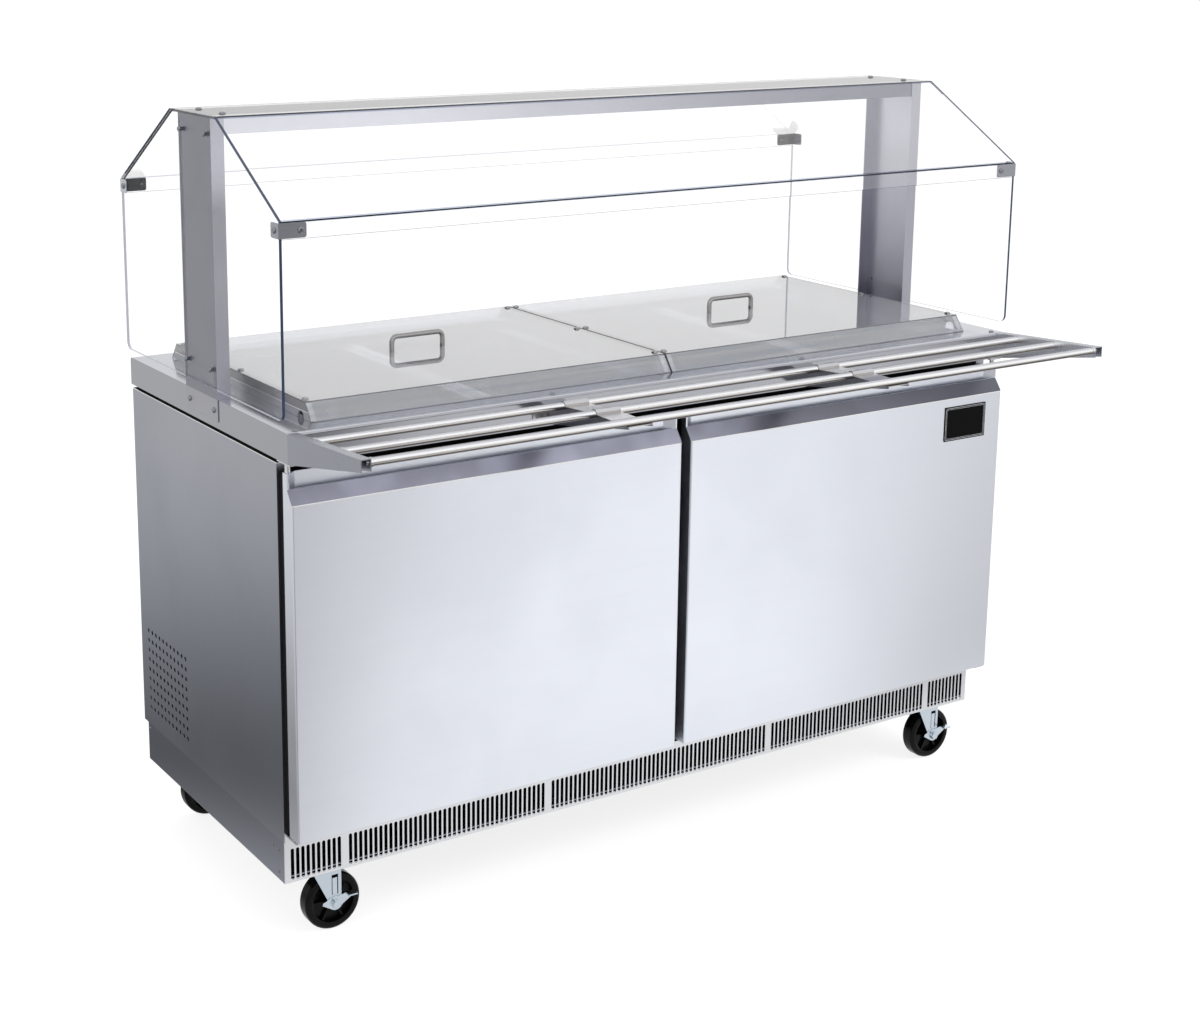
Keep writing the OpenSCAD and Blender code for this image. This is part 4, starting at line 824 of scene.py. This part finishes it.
def add_grille_shade_sheet():
    """A pleated black sheet right behind the slots of the front grille, painted shade where the slots show
    only shade.
    """
    low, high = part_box("front_grille")
    count = int((high.x - low.x - SHADE_SHEET_ROOM_X) / PLEAT_W)
    half = count * PLEAT_W / 2
    shape = bmesh.new()
    bmesh.ops.create_grid(shape, x_segments=count, y_segments=1, size=0.5)
    for vert in shape.verts:
        column = round((vert.co.x + 0.5) * count)
        behind = high.y + SHADE_SHEET_GAP + PLEAT_DEPTH * (column % 2)
        up = high.z - SHADE_SHEET_ROOM_Z if vert.co.y > 0 else low.z + SHADE_SHEET_ROOM_Z
        vert.co = Vector((column * PLEAT_W - half, behind, up))
    # Painted shade: a black sheet put where there is only shade
    black = plastic("shade_sheet_black", (0.001, 0.001, 0.001), rough=0.9, shine=0.02)
    new_piece("grille_shade_sheet", shape, black, "cart")


# The studio. Ramps over the floor are given as the places, in metres, where they begin and
# are full, and levels as the brightness that the metal mirrors.

# Near the cart's middle
NEAR_RAMP = (0.5, 1.1)
NEAR_LEVEL = 0.85
# Before the doors: how far they stand before the cart's middle, and the slanted stretches
# that their outer edges mirror
DOORS_AHEAD = 0.5
DOORS_RAMP = (-0.3, -0.55)
LEFT_SLANT = 0.6
LEFT_RAMP = (-0.98, -0.38)
LEFT_LEVEL = 0.22
RIGHT_SLANT = 1.08
RIGHT_RAMP = (0.4, 0.95)
RIGHT_LEVEL = 0.5
# To the left of a slanting line the floor is dim, and most so close to the cart
DIM_SLANT = 0.45
DIM_RAMP = (0.55, 1.3)
DIM_REACH = (0.75, 2.8)
DIM_LEVELS = (0.08, 0.72)


def mirrored_floor(tree, x, y):
    """How bright the floor is in the metal."""
    reach = math_node(tree, "SQRT", math_node(tree, "ADD", math_node(tree, "MULTIPLY", x, x),
                                              math_node(tree, "MULTIPLY", y, y)))
    near = mix_value(tree, ramp(tree, reach, *NEAR_RAMP), NEAR_LEVEL, 1.0)
    ahead = math_node(tree, "ADD", y, DOORS_AHEAD)
    at_left = math_node(tree, "ADD", x, math_node(tree, "MULTIPLY", ahead, LEFT_SLANT))
    at_right = math_node(tree, "ADD", x, math_node(tree, "MULTIPLY", ahead, RIGHT_SLANT))
    edges = math_node(tree, "MULTIPLY", mix_value(tree, ramp(tree, at_left, *LEFT_RAMP), LEFT_LEVEL, 1.0),
                      mix_value(tree, ramp(tree, at_right, *RIGHT_RAMP), 1.0, RIGHT_LEVEL))
    before_doors = mix_value(tree, ramp(tree, y, *DOORS_RAMP), 1.0, edges)
    bright = math_node(tree, "MULTIPLY", near, before_doors)
    dim = mix_value(tree, ramp(tree, reach, *DIM_REACH), *DIM_LEVELS)
    side = math_node(tree, "ADD", math_node(tree, "MULTIPLY", x, -1.0),
                     math_node(tree, "MULTIPLY", y, DIM_SLANT))
    return mix_value(tree, ramp(tree, side, *DIM_RAMP), bright, dim)


# The floor's own glow and its grey, which come to white where no shadow falls, and its
# plain grey for the light that it throws back
FLOOR_GLOW = 0.82
FLOOR_GREY = (0.35, 0.35, 0.35, 1)
FLOOR_PLAIN = (0.8, 0.8, 0.8, 1)


def floor_material():
    """White to the eye, with the object's soft shadow, and darker at the left and behind in the metal."""
    material = bpy.data.materials.new("studio_floor")
    material.use_nodes = True
    tree = material.node_tree
    tree.nodes.clear()
    x, y = split(tree, add_node(tree, "ShaderNodeTexCoord").outputs["Object"])[:2]
    seen = add_node(tree, "ShaderNodeEmission", Strength=FLOOR_GLOW)
    soft = add_node(tree, "ShaderNodeBsdfDiffuse", Color=FLOOR_GREY)
    eye = tree.nodes.new("ShaderNodeAddShader")
    tree.links.new(seen.outputs[0], eye.inputs[0])
    tree.links.new(soft.outputs[0], eye.inputs[1])
    plain = add_node(tree, "ShaderNodeBsdfDiffuse", Color=FLOOR_PLAIN)
    mirrored = add_node(tree, "ShaderNodeEmission", Strength=mirrored_floor(tree, x, y))
    path = add_node(tree, "ShaderNodeLightPath")
    see = math_node(tree, "MAXIMUM", path.outputs["Is Camera Ray"], path.outputs["Is Transmission Ray"])
    first = add_node(tree, "ShaderNodeMixShader", Fac=see)
    tree.links.new(plain.outputs[0], first.inputs[1])
    tree.links.new(eye.outputs[0], first.inputs[2])
    # A ray through the glass counts as glossy too
    mirror = math_node(tree, "SUBTRACT", path.outputs["Is Glossy Ray"],
                       path.outputs["Is Transmission Ray"], clamp=True)
    second = add_node(tree, "ShaderNodeMixShader", Fac=mirror)
    tree.links.new(first.outputs[0], second.inputs[1])
    tree.links.new(mirrored.outputs[0], second.inputs[2])
    leave = tree.nodes.new("ShaderNodeOutputMaterial")
    tree.links.new(second.outputs[0], leave.inputs["Surface"])
    return material


FLOOR_RADIUS = 30


def add_floor():
    mesh = bpy.data.meshes.new("studio_floor")
    shape = bmesh.new()
    bmesh.ops.create_circle(shape, cap_ends=True, segments=64, radius=FLOOR_RADIUS)
    shape.to_mesh(mesh)
    shape.free()
    floor = bpy.data.objects.new("studio_floor", mesh)
    bpy.context.scene.collection.objects.link(floor)
    mesh.materials.append(floor_material())


# The sky in the metal: the direction in which it dims, as shares of X and Y, where along
# that direction, between which levels, and how high up it is white again
SKY_DIM_WAY = (-0.8, 0.5)
SKY_DIM_RAMP = (-0.1, 0.7)
SKY_LEVELS = (0.95, 0.68)
SKY_UP_RAMP = (0.25, 0.75)
# Strength with which the sky lights the object
SKY_LIGHT = 0.75


def add_world():
    """White to the eye; in the metal bright overhead and at the right, dim at the left and behind."""
    world = bpy.data.worlds.new("studio")
    bpy.context.scene.world = world
    world.use_nodes = True
    tree = world.node_tree
    tree.nodes.clear()
    x, y, z = split(tree, add_node(tree, "ShaderNodeTexCoord").outputs["Generated"])
    side = math_node(tree, "ADD", math_node(tree, "MULTIPLY", x, SKY_DIM_WAY[0]),
                     math_node(tree, "MULTIPLY", y, SKY_DIM_WAY[1]))
    level = mix_value(tree, ramp(tree, side, *SKY_DIM_RAMP), *SKY_LEVELS)
    sky = mix_value(tree, ramp(tree, z, *SKY_UP_RAMP), level, 1.0)
    path = add_node(tree, "ShaderNodeLightPath")
    lit = mix_value(tree, path.outputs["Is Glossy Ray"], SKY_LIGHT, sky)
    see = math_node(tree, "MAXIMUM", path.outputs["Is Camera Ray"], path.outputs["Is Transmission Ray"])
    strength = mix_value(tree, see, lit, 1.0)
    back = add_node(tree, "ShaderNodeBackground", Color=(1, 1, 1, 1), Strength=strength)
    leave = tree.nodes.new("ShaderNodeOutputWorld")
    tree.links.new(back.outputs[0], leave.inputs["Surface"])


# The spot on the cart that the lamps are aimed at
LAMP_AIM = Vector((0, 0, 0.7))


def add_lamp(name, at, size, power):
    """A soft square lamp aimed at the middle of the cart."""
    data = bpy.data.lights.new(name, "AREA")
    data.size = size
    data.energy = power
    lamp = bpy.data.objects.new(name, data)
    bpy.context.scene.collection.objects.link(lamp)
    aim = LAMP_AIM - Vector(at)
    lamp.matrix_world = Matrix.Translation(Vector(at)) @ aim.to_track_quat("-Z", "Y").to_matrix().to_4x4()
    lamp.visible_glossy = False
    lamp.visible_camera = False
    lamp.visible_transmission = False


def add_studio():
    add_floor()
    add_world()
    add_lamp("key_lamp", at=(2.5, -3.5, 4.0), size=2.5, power=90)
    add_lamp("fill_lamp", at=(-4.0, -1.5, 2.5), size=2.0, power=30)
    bpy.context.scene.view_settings.view_transform = "Standard"


add_camera()
dress_all()
add_plate_borders()
add_grille_shade_sheet()
add_studio()
